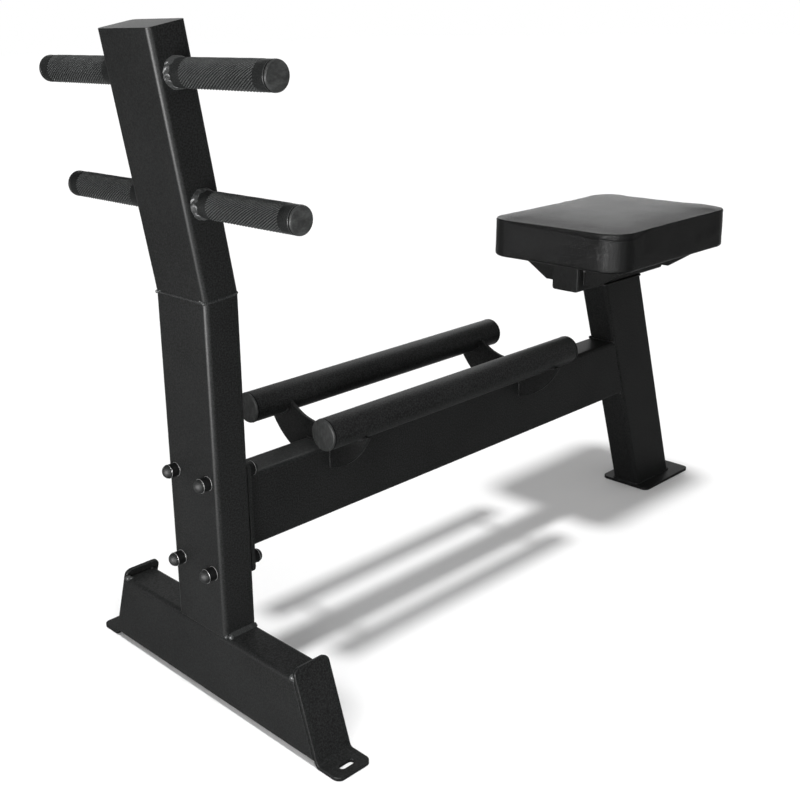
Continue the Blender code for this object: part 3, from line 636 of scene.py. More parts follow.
class BenchStage(bpy.types.PropertyGroup):
    """Floor, lamps and camera"""

    lens: FloatProperty(name="Lens", description="Focal length in mm", default=51.044)
    overhead: FloatProperty(name="Overhead lamp", description="Strength of the overhead lamp", default=2.25)
    side: FloatProperty(
        name="Side lamp", description="Power of the soft lamp on the handles' side", default=13.0
    )
    front: FloatProperty(
        name="Front box", description="Power of the near softbox in the gloss", default=1700.0
    )
    low: FloatProperty(name="Low box", description="Power of the low softbox in the gloss", default=3000.0)
    high: FloatProperty(name="High box", description="Power of the high softbox in the gloss", default=150.0)
    back: FloatProperty(name="Back box", description="Power of the far softbox in the gloss", default=80.0)
    fill: FloatProperty(name="Fill", description="Light from all around", default=0.40)


# Welds
def lay_weld(name, paths, share=1.0, pitch=None, seed=1, unevenness=0.16, look="coated weld", closed=False):
    """Beads along paths, their width as a share of the usual bead's."""
    sizes = frame_sizes()
    inputs = {"Width": sizes.weld_width * share, "Pitch": pitch or sizes.weld_pitch}
    inputs.update({"Unevenness": unevenness, "Seed": seed})
    run_tree(path_object(name, paths, closed), "weld", look, inputs)


def fillet_skin(corners, firsts, seconds, legs, pitch, depth, closed=False, unevenness=0.14):
    """A fillet in the corner of two surfaces, rippled every pitch along its run."""
    rings = []
    travelled = 0.0
    for i, (corner, first, second) in enumerate(zip(corners, firsts, seconds)):
        if i:
            travelled += (corner - corners[i - 1]).length
        share = 2 * i / (len(corners) - 1) - 1
        swell = 1.0 if closed else math.sqrt(max(0.04, 1 - share**10))
        swell *= 1 + unevenness * noise.noise(corner * 150)
        slip = 2.2 * unevenness * noise.noise(corner * 90 + Vector((7, 0, 0)))
        ring = [corner - (first + second) * 0.0003]
        for k in range(13):
            t = k / 12
            phase = (travelled / pitch + slip + 0.45 * math.sin(math.pi * t)) % 1
            reach = swell * (1 - depth * (2 * phase - 1) ** 2 * (0.35 + math.sin(math.pi * t)))
            one = legs[0] * reach * math.cos(math.pi / 2 * t) ** 1.5
            two = legs[1] * reach * max(0.0, math.sin(math.pi / 2 * t)) ** 1.5
            ring.append(corner + first * one + second * two - (first + second) * 0.0002)
        rings.append(ring)
    return ring_skin(rings, closed)


def lay_rings(name, rings, look):
    """Thin round rings about tubes and caps: each (outer radius, half thickness, place)."""
    skins = []
    for radius, size, place in rings:
        skins.append((turned(circle(radius - size, 0, size, 10), closed=True), place))
    lay_skins(name, skins, look)


def lay_drops(name, drops):
    """Drops of weld at the ends of beads: each (x, y, z, radius)."""
    skins = []
    for number, (x, y, z, radius) in enumerate(drops):
        bm = bmesh.new()
        bmesh.ops.create_icosphere(bm, subdivisions=4, radius=radius)
        for vert in bm.verts:
            vert.co *= 1 + 0.16 * noise.noise(vert.co / radius * 1.3 + Vector((number * 3.1, 0, 0)))
        skins.append((bm, Matrix.Translation((x, y, z))))
    # The drops take the lightened root weld coat: painted highlight.
    lay_skins(name, skins, "root weld coat with painted highlight")


class BENCH_OT_looks(bpy.types.Operator):
    """Mixes the finishes and builds the node trees that the pieces share"""

    bl_idname = "bench.looks"
    bl_label = "Finishes"

    def execute(self, context):
        sizes = frame_sizes()
        pad = context.scene.bench_pad
        coat = tuple(sizes.coat)
        # The saddle coat is the frame coat at 0.6 of its colour: painted shade for the rails' shade on the
        # saddles.
        for name, share in (("powder coat", 1.0), ("saddle coat painted shade", 0.6)):
            powder_coat(name, times(coat, share), sizes.roughness, sizes.grain, sizes.specular)
        for name, (share, *values) in FINE_COATS.items():
            powder_coat(name, times(coat, share), *values)
        for name, (share, *values) in BEADS.items():
            weld_metal(name, times(coat, share), *values)
        for name, values in PLASTICS.items():
            moulded_plastic(name, *values)
        coated_fabric("coated fabric", tuple(pad.cover), 0.37, 0.0205, pad.grain)
        thread("black thread", (0.0025, 0.0025, 0.0025))
        zinc_plate("zinc-plated steel")
        plywood("plywood")
        TREES.update({"weld": weld_tree(), "knurl": knurl_tree(), "stitches": stitch_tree()})
        return {"FINISHED"}


class BENCH_OT_foot(bpy.types.Operator):
    """Dresses the front foot and its bent end plates, and welds them"""

    bl_idname = "bench.foot"
    bl_label = "Front foot"

    def execute(self, context):
        sizes = frame_sizes()
        dress("front_foot_tube", sizes.rim)
        middle = centre("front_foot_tube")
        slope = math.tan(END_LEAN)
        paths, drops = [], []
        for side, sign in SIDES:
            dress(f"foot_end_plate_{side}", sizes.edge)
            # The tube ends in the leaning plane of the plate, and its front is ground flush
            line = []
            for u, v in rounded_loop(TUBE_NARROW, TUBE_WIDE, TUBE_CORNER):
                if u > -0.022 and v > -0.05:
                    y = FOOT_HIGH.y - slope * (v + TUBE_WIDE / 2) - 0.0012
                    line.append((middle.x + u, sign * y, middle.z + v))
            line.sort(key=lambda p: math.atan2(p[2] - middle.z, p[0] - middle.x))
            paths.append(line)
            corner = FOOT_HIGH.y - slope * TUBE_WIDE
            for x, y, z, size in ((0.004, 0.003, 0.0012, 0.0052), (0.00772, 0.0061, 0.00244, 0.0040)):
                drops.append((FOOT_LOW.x + x, sign * (corner - y), FOOT_HIGH.z - z, size))
        lay_weld("foot_end_welds", paths, 1.25, seed=3)
        lay_drops("foot_weld_blobs", drops)
        return {"FINISHED"}


class BENCH_OT_upright(bpy.types.Operator):
    """Dresses the upright's two lengths and its cap, and welds the bend and the base"""

    bl_idname = "bench.upright"
    bl_label = "Upright"

    def execute(self, context):
        sizes = frame_sizes()
        for node in ("upright_lower_tube", "upright_upper_tube", "upright_top_cap"):
            dress(node, sizes.rim)
        self.fill_cap_joint(sizes.rim)
        self.weld_base(FOOT_LOW.x, FOOT_HIGH.z, TUBE_WIDE / 2)
        self.weld_bend(FOOT_LOW.x, TUBE_WIDE / 2)
        return {"FINISHED"}

    def weld_base(self, front, low, side):
        """Fillets at the sides, two drops at the near corner, and flush seams front and back."""
        fillets = []
        for _, sign in SIDES:
            run = [front + 0.006 + (TUBE_NARROW - 0.006) * i / 70 for i in range(71)]
            corners = [Vector((x, sign * side, low)) for x in run]
            out = [Vector((0, sign, 0))] * len(run)
            skin = fillet_skin(corners, [UP] * len(run), out, (0.006, 0.0065), 0.006, 0.08)
            fillets.append((skin, Matrix()))
        # The fillets take the lightened fillet coat: painted highlight.
        lay_skins("upright_base_fillets", fillets, "fillet coat with painted highlight", sharp=50)
        drops = ((0.0040, 0.0030, 0.0003, 0.0036), (0.0070, -0.0045, 0.0012, 0.0040))
        lay_drops("upright_weld_drops", [(front + x, y - side, low + z, size) for x, y, z, size in drops])
        reach = side - 0.004
        faces = (front + 0.0006, front + TUBE_NARROW - 0.0006)
        seams = [[(x, -reach, low), (x, reach, low)] for x in faces]
        lay_weld("upright_base_seams", seams, 0.6, 0.0012, seed=6)

    def weld_bend(self, front, side):
        """A fine bead in the mitre plane, through the bend of the front face, with drops at the corners."""
        tilt = Matrix.Rotation(-UPPER_LEAN / 2, 4, "Y")
        loop = []
        for u, v in rounded_loop(TUBE_NARROW - 0.0008, TUBE_WIDE - 0.0008, TUBE_CORNER):
            spot = tilt @ Vector(((u + TUBE_NARROW / 2) / math.cos(UPPER_LEAN / 2), v, 0))
            loop.append(spot + Vector((front, 0, BEND_HEIGHT)))
        # The bend's bead takes the lightened fillet coat: painted highlight.
        lay_weld("upright_bend_weld", [loop], 0.75, 0.0018, 7, 0.55, "fillet coat with painted highlight", closed=True)
        drops = []
        for inward, size in ((0.0, 0.0026), (0.0040, 0.0022), (0.0085, 0.0017)):
            for sign in (-1, 1):
                height = BEND_HEIGHT - 0.0004 + inward * 0.3
                drops.append((front + 0.0006, sign * (side - 0.0040 - inward), height, size))
        lay_drops("upright_bend_drops", drops)

    def fill_cap_joint(self, rim):
        """The cap is welded on and ground flush, so no groove shows under it."""
        axis = Vector((-math.sin(UPPER_LEAN), 0, math.cos(UPPER_LEAN)))
        across = Vector((math.cos(UPPER_LEAN), 0, math.sin(UPPER_LEAN)))
        tube = max(v.co.dot(axis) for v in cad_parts["upright_upper_tube"].data.vertices)
        cap = [v.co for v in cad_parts["upright_top_cap"].data.vertices]
        low = min(point.dot(axis) for point in cap)
        sides = [point.dot(across) for point in cap]
        middle = (min(sides) + max(sides)) / 2
        start, end, out, deep = tube - rim, low + rim, 0.00005, 0.003
        rings = []
        for inset, height in ((out, start), (out, end), (deep, end), (deep, start)):
            loop = rounded_loop(TUBE_NARROW - 2 * inset, TUBE_WIDE - 2 * inset, TUBE_CORNER - inset)
            rings.append([across * (middle + u) + axis * height + Vector((0, v, 0)) for u, v in loop])
        band = new_object("upright_cap_filler", mesh_from(ring_skin(rings, closed=True), "cap filler", 40))
        settle(band, "powder coat")


class BENCH_OT_handles(bpy.types.Operator):
    """Turns the four handles, knurls them, plugs their ends and welds their roots"""

    bl_idname = "bench.handles"
    bl_label = "Handles"

    def execute(self, context):
        props = context.scene.bench_handles
        clear = 0.0003
        end = HANDLE_REACH - PLUG_HEAD - clear
        valley = HANDLE_RADIUS - 0.00035
        profile = [
            (HANDLE_RADIUS, clear),
            (HANDLE_RADIUS, props.knurl_from - 0.0008),
            (valley, props.knurl_from),
            (valley, props.knurl_to),
            (HANDLE_RADIUS, props.knurl_to + 0.0008),
            *arc(HANDLE_RADIUS - 0.0014, end - 0.0014, 0.0014, 0, math.pi / 2, 5),
            (HANDLE_RADIUS - HANDLE_WALL, end),
            (HANDLE_RADIUS - HANDLE_WALL, clear),
        ]
        knurl = {
            "Radius": HANDLE_RADIUS - props.rib + 0.0004,
            "From": props.knurl_from,
            "To": props.knurl_to,
            "Starts": props.starts,
            "Turn per Metre": -math.tan(props.angle) / HANDLE_RADIUS,
            "Rib": props.rib,
        }
        ripple = 2 * math.pi * HANDLE_RADIUS / props.root_ripples
        spokes = [Vector((x, y, 0)) for x, y in circle(0, 0, 1, 190)]
        roots, gap_shadows, rim_highlights = [], [], []
        for spot in SPOTS:
            node = f"handle_{spot}"
            middle = centre(node)
            sign = math.copysign(1, middle.y)
            out = Vector((0, sign, 0))
            root = Vector((middle.x, sign * TUBE_WIDE / 2, middle.z))
            tip = root + out * HANDLE_REACH
            place = along(out, root)
            # The handle takes a lighter copy of the coat: painted light.
            turn_piece(node, "turned", profile, 72, place, "handle coat with painted light", 38, closed=True)
            ribs = new_object(f"{node}_knurl", bpy.data.meshes.new("knurl"))
            # The ribs take a coat six times lighter: painted highlight on the knurl.
            run_tree(ribs, "knurl", "knurl ridges painted highlight", knurl)
            ribs.data.transform(place)
            mould_plug(f"handle_plug_{spot}", HANDLE_RADIUS, HANDLE_WALL, 72, along(out, tip), "plug plastic")
            arms = [place.to_3x3() @ spoke for spoke in spokes]
            corners = [root + arm * HANDLE_RADIUS for arm in arms]
            outs = [out] * len(arms)
            skin = fillet_skin(corners, outs, arms, (0.0108, 0.0030), ripple, 0.42, True, 0.3)
            roots.append((skin, Matrix()))
            # A near-black ring in the joint of handle and plug: painted shadow of the gap.
            gap_shadows.append((HANDLE_RADIUS + 0.0002, 0.0009, along(out, tip - out * 0.0042)))
            # A lighter ring on the handle's rounded end: painted highlight.
            rim_highlights.append((HANDLE_RADIUS + 0.0002, 0.0008, along(out, tip - out * 0.0058)))
        # The root welds take the lightened weld coat: painted highlight.
        lay_skins("handle_root_welds", roots, "root weld coat with painted highlight", sharp=50)
        lay_rings("handle_plug_gap_shadows", gap_shadows, "painted gap shadow")
        lay_rings("handle_end_rim_highlights", rim_highlights, "painted rim highlight")
        return {"FINISHED"}


class BENCH_OT_beam(bpy.types.Operator):
    """Dresses the main beam and its flange, and welds both ends"""

    bl_idname = "bench.beam"
    bl_label = "Main beam"

    def execute(self, context):
        sizes = frame_sizes()
        dress("main_beam_tube", sizes.rim)
        dress("beam_flange_plate", sizes.edge)
        height = BEAM_HIGH.z - BEAM_LOW.z
        width = BEAM_HIGH.y - BEAM_LOW.y
        middle = (BEAM_HIGH.z + BEAM_LOW.z) / 2
        loop = [(BEAM_LOW.x + 0.0012, u, middle + v) for v, u in rounded_loop(height, width, TUBE_CORNER)]
        lay_weld("beam_front_weld", [loop], seed=13, closed=True)
        # The beam ends on the leaning front of the post, where only the top and bottom keep their beads
        reach = width / 2 - 0.003
        ends = ((BEAM_HIGH.x - height * math.tan(POST_LEAN), BEAM_HIGH.z + 0.0008), (BEAM_HIGH.x, BEAM_LOW.z))
        lines = [[(x - 0.0016, -reach, z), (x - 0.0016, reach, z)] for x, z in ends]
        lay_weld("beam_rear_welds", lines, 1.6, 0.003, seed=14)
        return {"FINISHED"}


class BENCH_OT_bolts(bpy.types.Operator):
    """Turns the domed caps over the flange bolts, and finishes the bolts and nuts in them"""

    bl_idname = "bench.bolts"
    bl_label = "Bolts and caps"

    def execute(self, context):
        dome = 0.009
        lip_highlights = []
        for spot in SPOTS:
            for kind, out in (("bolt_head_cap", -1), ("nut_cap", 1)):
                node = f"{kind}_{spot}"
                low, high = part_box(node)
                middle = (low + high) / 2
                seat = high.x if out < 0 else low.x
                radius = (high.y - low.y) / 2
                skirt = high.x - low.x - dome
                inner = radius - 0.0006
                hollow = radius - 0.0014
                profile = [(0, skirt), (hollow, skirt), (hollow, 0), (inner, 0), (inner, skirt)]
                for i in range(1, 14):
                    angle = math.pi / 2 * i / 14
                    profile.append((inner * math.cos(angle), skirt + dome * math.sin(angle)))
                profile.append((0, skirt + dome))
                place = along((out, 0, 0), (seat, middle.y, middle.z))
                cap = turn_piece(node, "moulded", profile, 56, place, "cap plastic", 60)
                # The skirt's faces take a darker copy of the cap plastic: painted shade.
                cap.data.materials.append(LOOKS["cap skirt painted shade"])
                for face in cap.data.polygons:
                    face.material_index = abs(face.center.x - seat) < skirt
                # Near-white rings at the cap's seat and at the dome's foot: painted highlight on the lips.
                for height, size in ((0.00035, 0.00030), (skirt, 0.00025)):
                    lip_highlights.append((radius, size, along((out, 0, 0), (seat + out * height, middle.y, middle.z))))
            paint_node(f"flange_bolt_{spot}", "zinc-plated steel")
            paint_node(f"flange_nut_{spot}", "zinc-plated steel")
        lay_rings("cap_lip_highlights", lip_highlights, "cap lip painted highlight")
        return {"FINISHED"}


class BENCH_OT_saddles(bpy.types.Operator):
    """Dresses the crescent saddles and welds them to the beam and the rails"""

    bl_idname = "bench.saddles"
    bl_label = "Saddles"

    def execute(self, context):
        rail = centre("rail_left")
        pocket = arc(rail.y, rail.z, RAIL_RADIUS + 0.0006, math.radians(-150), math.radians(-50), 8)
        top = BEAM_HIGH.z + 0.0012
        paths = []
        for end in ENDS:
            node = f"{end}_saddle_plate"
            # The saddles take the darker coat: painted shade.
            dress(node, frame_sizes().edge, "saddle coat painted shade")
            low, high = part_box(node)
            for face in (low.x - 0.001, high.x + 0.001):
                for _, sign in SIDES:
                    y = sign * (BEAM_HIGH.y + 0.001)
                    paths.append([(face, y, low.z + 0.003), (face, y, BEAM_HIGH.z - 0.006)])
                paths.append([(face, -0.022, top), (face, 0.022, top)])
            for face in (low.x - 0.0008, high.x + 0.0008):
                for _, sign in SIDES:
                    paths.append([(face, sign * y, z) for y, z in pocket])
        lay_weld("saddle_welds", paths, 0.9, seed=17)
        return {"FINISHED"}


class BENCH_OT_rails(bpy.types.Operator):
    """Turns the two rails and their end plugs"""

    bl_idname = "bench.rails"
    bl_label = "Rails"

    def execute(self, context):
        lip = 0.0006
        bore = RAIL_RADIUS - RAIL_WALL
        gap_shadows = []
        for side, _ in SIDES:
            node = f"rail_{side}"
            low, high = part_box(node)
            middle = (low + high) / 2
            length = high.x - low.x
            profile = [
                *arc(RAIL_RADIUS - lip, lip, lip, -math.pi / 2, 0, 3),
                *arc(RAIL_RADIUS - lip, length - lip, lip, 0, math.pi / 2, 3),
                (bore, length),
                (bore, 0),
            ]
            place = along((1, 0, 0), (low.x, middle.y, middle.z))
            turn_piece(node, "turned", profile, 96, place, "powder coat", 40, closed=True)
            for end, out in zip(ENDS, (-1, 1)):
                plug = f"rail_plug_{end}_{side}"
                tip = Vector((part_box(plug)[out > 0].x, middle.y, middle.z))
                out = Vector((out, 0, 0))
                mould_plug(plug, RAIL_RADIUS, RAIL_WALL, 96, along(out, tip), "rail plug plastic")
                # A near-black ring in the joint of rail and plug: painted shadow of the gap.
                gap_shadows.append((RAIL_RADIUS + 0.0003, 0.0013, along(out, tip - out * 0.0042)))
        lay_rings("rail_plug_gap_shadows", gap_shadows, "painted gap shadow")
        return {"FINISHED"}


class BENCH_OT_post(bpy.types.Operator):
    """Dresses the leaning rear post and its floor plate, and welds them"""

    bl_idname = "bench.post"
    bl_label = "Rear post"

    def execute(self, context):
        sizes = frame_sizes()
        dress("rear_post_tube", sizes.rim)
        dress("rear_floor_plate", sizes.edge)
        low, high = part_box("rear_post_tube")
        depth = TUBE_WIDE / math.cos(POST_LEAN)
        outline = rounded_loop(depth + 0.0016, TUBE_NARROW + 0.0016, TUBE_CORNER)
        ends = ((high.x - depth / 2, low.z + 0.0006), (low.x + depth / 2, high.z - 0.0006))
        loops = [[(x + u, v, z) for u, v in outline] for x, z in ends]
        lay_weld("post_welds", loops, seed=19, closed=True)
        return {"FINISHED"}


class BENCH_OT_seat_support(bpy.types.Operator):
    """Dresses the tube, plugs and brackets under the pad"""

    bl_idname = "bench.seat_support"
    bl_label = "Seat support"

    def execute(self, context):
        sizes = frame_sizes()
        dress("seat_support_tube", sizes.rim)
        paths, drops = [], []
        for end in ENDS:
            # The plugs under the pad take a darker plug plastic: painted shade from the pad.
            dress(f"seat_tube_plug_{end}", 0.0011, "seat plug plastic painted shade")
            for side, sign in SIDES:
                spot = f"{end}_{side}"
                dress(f"seat_bracket_{spot}", sizes.edge)
                low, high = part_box(f"seat_bracket_{spot}")
                y = sign * (min(abs(low.y), abs(high.y)) + 0.0006)
                x = low.x - 0.0006 if end == "front" else high.x + 0.0006
                paths.append([(x, y, low.z + 0.002), (x, y, high.z - 0.008)])
                for share, size in ((0.28, 0.0021), (0.42, 0.0029), (0.55, 0.0019)):
                    drops.append((x, y, high.z - (high.z - low.z) * share, size))
                paint_node(f"pad_screw_{spot}", "zinc-plated steel")
                paint_node(f"pad_tee_nut_{spot}", "zinc-plated steel")
        lay_weld("bracket_welds", paths, 1.125, seed=23)
        lay_drops("bracket_weld_drops", drops)
        return {"FINISHED"}


# The pad
PAD_LOW, PAD_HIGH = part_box("seat_cushion")
PAD_CORNER = 0.047
PAD_CROWN = 0.011
PAD_RIM = PAD_HIGH.z - PAD_CROWN
PAD_EDGE = 0.0030
PAD_DRAW = 0.0022
PAD_EDGE_ARC = PAD_EDGE * math.pi / 2
PAD_MIDDLE = (PAD_LOW + PAD_HIGH) / 2
PAD_SIZE = PAD_HIGH - PAD_LOW
PAD_LENGTH, PAD_WIDTH = PAD_HIGH.x - PAD_LOW.x, PAD_HIGH.y - PAD_LOW.y
FILL_SHARE = 0.3


def pad_plan(inset, draw, corner_steps=14, side_steps=26):
    """The pad's plan, inset by so much, with its sides drawn in between the corners."""
    radius = max(PAD_CORNER - inset, 0.012)
    loop = rounded_loop(PAD_LENGTH - 2 * inset, PAD_WIDTH - 2 * inset, radius, corner_steps)
    per_corner = corner_steps + 1
    points = []
    for first in range(0, len(loop), per_corner):
        points += loop[first : first + per_corner]
        start = Vector(points[-1])
        run = Vector(loop[(first + per_corner) % len(loop)]) - start
        inward = Vector((-run.y, run.x)).normalized()
        for i in range(1, side_steps):
            share = i / side_steps
            pull = draw * math.sin(math.pi * share) ** 0.8
            points.append(tuple(start + run * share + inward * pull))
    return points


def pad_rings():
    """(inset, height, share, way) from under the rim, up the side and over the crown.

    The way is the length of cover from the rim down to the ring, or 1 where no seam may run.
    """
    base, rim = PAD_LOW.z, PAD_RIM
    tuck, roll = 0.0137, 0.0055
    rings = [(tuck, base + 0.0004, 1, 1.0), (tuck, base, 1, 1.0)]
    for i in range(6):
        angle = math.pi / 2 * i / 5
        rings.append((roll * (1 - math.sin(angle)), base + roll * (1 - math.cos(angle)), 1, 1.0))
    # The side panel: widely spaced rings below, close ones where the seam may run
    low, mid, high = base + roll, rim - 0.0165, rim - PAD_EDGE
    heights = [low + (mid - low) * i / 9 for i in range(1, 10)]
    heights += [mid + (high - mid) * i / 20 for i in range(1, 21)]
    rings += [(0, height, 1, high - height + PAD_EDGE_ARC) for height in heights]
    for i in range(1, 13):
        angle = math.pi / 2 * i / 12
        inset, drop = PAD_EDGE * (1 - math.cos(angle)), PAD_EDGE * (1 - math.sin(angle))
        rings.append((inset, rim - drop, 1, PAD_EDGE_ARC * (1 - i / 12)))
    for i in range(1, 17):
        share = 1 - (i / 16.4) ** 1.15
        rings.append((PAD_EDGE, rim + PAD_CROWN * (1 - share**3), share, -1.0))
    return rings


def bell(height, offset, width):
    return height * math.exp(-((offset / width) ** 2))


def seam_way(x, y, props):
    """How far below the rim the seam runs: lowest at the near corner, just under the rim at the others."""
    turn = PAD_LOW.x + PAD_CORNER
    if x < turn:
        share = (PAD_HIGH.y - y) / PAD_WIDTH
    elif y < PAD_MIDDLE.y:
        share = bell(1, x - turn, 0.03)
    else:
        share = 0.0
    return props.seam_high + (props.seam_low - props.seam_high) * share


def pad_points(rings):
    points = []
    for inset, height, share, _ in rings:
        plan = pad_plan(inset, PAD_DRAW if inset < 0.012 else 0)
        points.append([(PAD_MIDDLE.x + x * share, PAD_MIDDLE.y + y * share, height) for x, y in plan])
    return points


def inflate(props):
    """How the filled cover moves each point of a plain block, as (rest points, moves)."""
    rings = pad_rings()
    blank = mesh_from(ring_skin(pad_points([rings[1]] + rings[7:17] + rings[17::4])), "pad blank")
    shrink = 0.002
    for vertex in blank.vertices:
        for axis, middle in enumerate(PAD_MIDDLE):
            vertex.co[axis] = middle + (vertex.co[axis] - middle) * (1 - 2 * shrink / PAD_SIZE[axis])
    block = new_object("pad blank", blank)
    tune(block.modifiers.new("Remesh", "REMESH"), mode="VOXEL", voxel_size=0.006)
    cover = new_object("pad cover", evaluated_mesh(block))
    bpy.data.objects.remove(block)
    rest = np.array([v.co for v in cover.data.vertices])
    held = cover.vertex_groups.new(name="held")
    held.add([i for i, point in enumerate(rest) if point[2] < PAD_LOW.z + 0.006], 1.0, "REPLACE")
    cloth = cover.modifiers.new("Cloth", "CLOTH")
    tune(cloth.settings, quality=6, mass=0.35, tension_stiffness=18, compression_stiffness=18)
    tune(cloth.settings, bending_stiffness=2.5, vertex_group_mass="held")
    tune(cloth.settings, use_pressure=True, uniform_pressure_force=props.pressure)
    cloth.settings.effector_weights.gravity = 0
    cloth.collision_settings.use_collision = False
    scene = bpy.context.scene
    for step in range(1, 21):
        scene.frame_set(step)
    graph = bpy.context.evaluated_depsgraph_get()
    filled = cover.evaluated_get(graph).data
    moves = np.array([v.co for v in filled.vertices]) - rest
    scene.frame_set(1)
    bpy.data.objects.remove(cover)
    length = np.linalg.norm(moves, axis=1)
    cap = np.minimum(1, props.swell / np.maximum(length, 1e-9))
    return rest, moves * cap[:, None]


class BENCH_OT_pad(bpy.types.Operator):
    """Pads, covers and stitches the seat pad on its board"""

    bl_idname = "bench.pad"
    bl_label = "Pad"

    def execute(self, context):
        props = context.scene.bench_pad
        rings = pad_rings()
        points = np.array([point for ring in pad_points(rings) for point in ring])
        moved = points.copy()
        moved += self.filled(points, props)
        line = self.sewn(points, moved, rings, props)
        loops = moved.reshape(len(rings), -1, 3).tolist()
        cushion = new_object("seat_cushion_covered", mesh_from(ring_skin(loops), "seat cushion"))
        settle(cushion, "coated fabric", ["seat_cushion"])
        stitches = path_object("pad_stitches", [line], closed=True)
        pitch = props.stitch_pitch
        inputs = {"Pitch": pitch, "Length": pitch * 0.5, "Thickness": 0.0015}
        run_tree(stitches, "stitches", "black thread", inputs)
        paint_node("pad_board", "plywood")
        return {"FINISHED"}

    def sewn(self, points, moved, rings, props):
        """Draws the seam's groove and puckers into the uneven foam, and gives the stitches' line over it."""
        per_ring = len(points) // len(rings)
        stitched = [None] * per_ring
        for i, spot in enumerate(map(Vector, points)):
            _, _, share, way = rings[i // per_ring]
            angle = math.atan2(spot.y - PAD_MIDDLE.y, spot.x - PAD_MIDDLE.x)
            outward = Vector((math.cos(angle), math.sin(angle), 0))
            push = outward * (0.0007 * noise.noise(spot * 14.0) + 0.00025 * noise.noise(spot * 70.0))
            if 0 <= way < 0.5:
                below = way - seam_way(spot.x, spot.y, props)
                wave = noise.noise(outward * 26 + Vector((0, 0, 0.3)))
                draw = bell(0.0004, below - 0.0024, 0.0014) - bell(0.0008, below, 0.001)
                draw += bell(0.0009 * wave, below, 0.007)
                lean = math.pi / 2 * min(1, way / PAD_EDGE_ARC)
                push += (outward * math.sin(lean) + UP * math.cos(lean)) * draw
                if stitched[i % per_ring] is None and below < -0.0006:
                    stitched[i % per_ring] = i
            if share < 0.999:
                push.z += 0.0009 * noise.noise(spot * 9.0 + Vector((4, 2, 0)))
                push.z += 0.00022 * noise.noise(spot * 60.0)
            moved[i] += np.array(push)
        np.clip(moved[:, 2], PAD_LOW.z, PAD_HIGH.z + 0.004, out=moved[:, 2])
        line = [Vector(moved[i]) for i in stitched]
        line = [(line[k - 1] + line[k] + line[(k + 1) % per_ring]) / 3 for k in range(per_ring)]
        return [p + Vector((p.x - PAD_MIDDLE.x, p.y - PAD_MIDDLE.y, 0)).normalized() * 0.0001 for p in line]

    def filled(self, points, props):
        """The filled cover's move at each point: the mean of the nearest simulated points' moves, in part."""
        rest, moves = inflate(props)
        tree = kdtree.KDTree(len(rest))
        for i, point in enumerate(rest):
            tree.insert(point, i)
        tree.balance()
        pulls = np.zeros_like(points)
        for i, point in enumerate(points):
            total = 0.0
            for _, near, distance in tree.find_n(point, 8):
                weight = 1 / (distance**2 + 9e-6)
                total += weight
                pulls[i] += moves[near] * weight
            pulls[i] *= FILL_SHARE / total
        return pulls


# Stage
WHITE = (1, 1, 1, 1)
CAMERA_PLACE = (-1.52108, -1.28166, 1.02185)
CAMERA_ANGLES = (48.007, 17.827, 1.660)
CAMERA_SHIFT = (0.0964, -0.0318)


class BENCH_OT_stage(bpy.types.Operator):
    """Lays the floor, hangs the lamps and sets the camera"""

    bl_idname = "bench.stage"
    bl_label = "Stage"

    def execute(self, context):
        stage = context.scene.bench_stage
        context.scene.view_settings.view_transform = "Standard"
        lay_floor()
        light_world(stage.fill)
        sun = tune(bpy.data.lights.new("overhead", "SUN"), energy=stage.overhead, angle=math.radians(8))
        lamp = new_object("overhead", sun)
        lamp.rotation_euler = Vector((-0.13, -0.085, 1)).to_track_quat("Z", "Y").to_euler()
        near = soft_lamp("side_lamp", stage.side, (0.8, 0.8), (-1.45, -0.95, 0.32), (-0.6, 0, 0.4))
        near.visible_glossy = False
        for name, power, size, place, aim in (
            ("front_box", stage.front, (4.0, 2.3), (-2.9, -2.6, 1.2), (-0.5, 0, 0.6)),
            ("low_box", stage.low, (1.5, 0.5), (-3.4, -0.2, 0.27), (-0.6, 0, 0.4)),
            ("high_box", stage.high, (2.2, 3.0), (1.9, 1.2, 2.95), (0.0, 0, 0.4)),
            ("back_box", stage.back, (6, 3), (3.6, 3.7, 2.1), (0.3, 0, 0.6)),
        ):
            soft_lamp(name, power, size, place, aim).visible_diffuse = False
        set_camera(stage.lens)
        return {"FINISHED"}


def seen_ray(tree):
    """1 for rays that see the surroundings: from the camera, in gloss and through glass."""
    path = add_node(tree, "ShaderNodeLightPath")
    value = path.outputs["Is Camera Ray"]
    for name in ("Is Glossy Ray", "Is Transmission Ray"):
        either = add_node(tree, "ShaderNodeMath", {0: value, 1: path.outputs[name]}, operation="MAXIMUM")
        value = either.outputs[0]
    return value


def mix_seen(tree, lit, seen, output):
    """One shader for the light on the bench, and another for the rays that see the surroundings."""
    mix = add_node(tree, "ShaderNodeMixShader", {0: seen_ray(tree), 1: lit.outputs[0], 2: seen.outputs[0]})
    put(tree, tree.nodes[output].inputs["Surface"], mix.outputs[0])


def light_world(fill):
    """White to the rays that see it, and an even light from all around."""
    world = bpy.data.worlds.new("studio")
    world.use_nodes = True
    bpy.context.scene.world = world
    tree = world.node_tree
    around = tree.nodes["Background"]
    put(tree, around.inputs["Color"], WHITE)
    put(tree, around.inputs["Strength"], fill)
    seen = add_node(tree, "ShaderNodeBackground", {"Color": WHITE, "Strength": 1.0})
    mix_seen(tree, around, seen, "World Output")


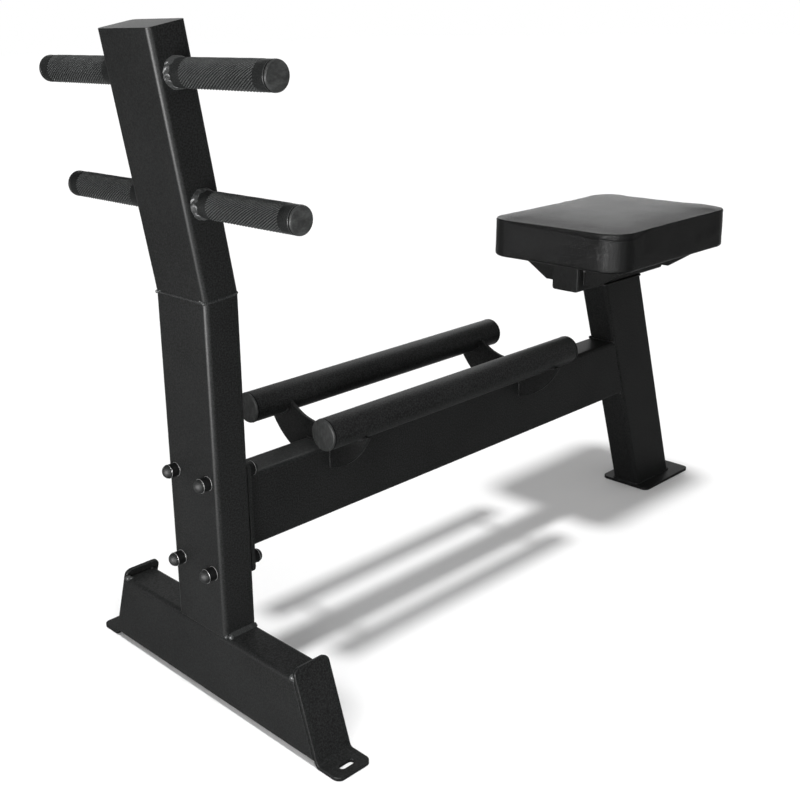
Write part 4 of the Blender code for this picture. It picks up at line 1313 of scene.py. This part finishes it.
def lay_floor():
    """A wide pale floor, a little greyer in the light that it throws back."""
    bm = bmesh.new()
    reach = 30.0
    corners = [(-reach, -reach), (reach, -reach), (reach, reach), (-reach, reach)]
    bm.faces.new([bm.verts.new((x, y, -0.0004)) for x, y in corners])
    floor = new_object("studio_floor", mesh_from(bm, "studio floor"))
    material = bpy.data.materials.new("studio floor")
    material.use_nodes = True
    tree = material.node_tree
    paint = tree.nodes["Principled BSDF"]
    put(tree, paint.inputs["Base Color"], (0.6, 0.6, 0.6, 1))
    put(tree, paint.inputs["Roughness"], 0.9)
    put(tree, paint.inputs["Specular IOR Level"], 0.0)
    matt = add_node(tree, "ShaderNodeBsdfDiffuse", {"Color": (0.92, 0.92, 0.92, 1)})
    glow = add_node(tree, "ShaderNodeEmission", {"Strength": 0.03})
    pale = add_node(tree, "ShaderNodeAddShader", {0: matt.outputs[0], 1: glow.outputs[0]})
    mix_seen(tree, paint, pale, "Material Output")
    floor.data.materials.append(material)


def soft_lamp(name, power, size, place, aim):
    light = bpy.data.lights.new(name, "AREA")
    tune(light, energy=power, shape="RECTANGLE", size=size[0], size_y=size[1])
    turn = (Vector(place) - Vector(aim)).to_track_quat("Z", "Y").to_euler()
    return tune(new_object(name, light), location=place, rotation_euler=turn, visible_camera=False)


def set_camera(lens):
    """The camera that was solved from the photograph's edges."""
    yaw, pitch, roll = (math.radians(angle) for angle in CAMERA_ANGLES)
    forward = Vector((math.cos(yaw) * math.cos(pitch), math.sin(yaw) * math.cos(pitch), -math.sin(pitch)))
    right = Vector((math.sin(yaw), -math.cos(yaw), 0))
    down = forward.cross(right)
    across = right * math.cos(roll) + down * math.sin(roll)
    below = down * math.cos(roll) - right * math.sin(roll)
    data = bpy.data.cameras.new("camera")
    tune(data, sensor_width=36, lens=lens, shift_x=CAMERA_SHIFT[0], shift_y=CAMERA_SHIFT[1])
    camera = new_object("camera", data)
    turn = Matrix((across, -below, -forward)).transposed()
    camera.matrix_world = Matrix.Translation(CAMERA_PLACE) @ turn.to_4x4()
    bpy.context.scene.camera = camera


OPERATORS = (
    BENCH_OT_looks,
    BENCH_OT_foot,
    BENCH_OT_upright,
    BENCH_OT_handles,
    BENCH_OT_beam,
    BENCH_OT_bolts,
    BENCH_OT_saddles,
    BENCH_OT_rails,
    BENCH_OT_post,
    BENCH_OT_seat_support,
    BENCH_OT_pad,
    BENCH_OT_stage,
)
GROUPS = {
    "bench_frame": BenchFrameSizes,
    "bench_handles": BenchHandleSizes,
    "bench_pad": BenchPadSizes,
    "bench_stage": BenchStage,
}


class BENCH_PT_panel(bpy.types.Panel):
    """Lists the bench's pieces in the order they are made"""

    bl_idname = "BENCH_PT_panel"
    bl_label = "Seal row bench"
    bl_space_type = "VIEW_3D"
    bl_region_type = "UI"
    bl_category = "Bench"

    def draw(self, context):
        for group in GROUPS:
            box = self.layout.box()
            props = getattr(context.scene, group)
            for key in props.__annotations__:
                box.prop(props, key)
        for operator in OPERATORS:
            self.layout.operator(operator.bl_idname)


def register():
    for cls in (*GROUPS.values(), *OPERATORS, BENCH_PT_panel):
        bpy.utils.register_class(cls)
    for key, group in GROUPS.items():
        setattr(bpy.types.Scene, key, PointerProperty(type=group))


def unregister():
    for key in GROUPS:
        delattr(bpy.types.Scene, key)
    for cls in (BENCH_PT_panel, *reversed(OPERATORS), *reversed(list(GROUPS.values()))):
        bpy.utils.unregister_class(cls)


def main():
    register()
    for operator in OPERATORS:
        family, name = operator.bl_idname.split(".")
        getattr(getattr(bpy.ops, family), name)()


if __name__ == "__main__":
    main()
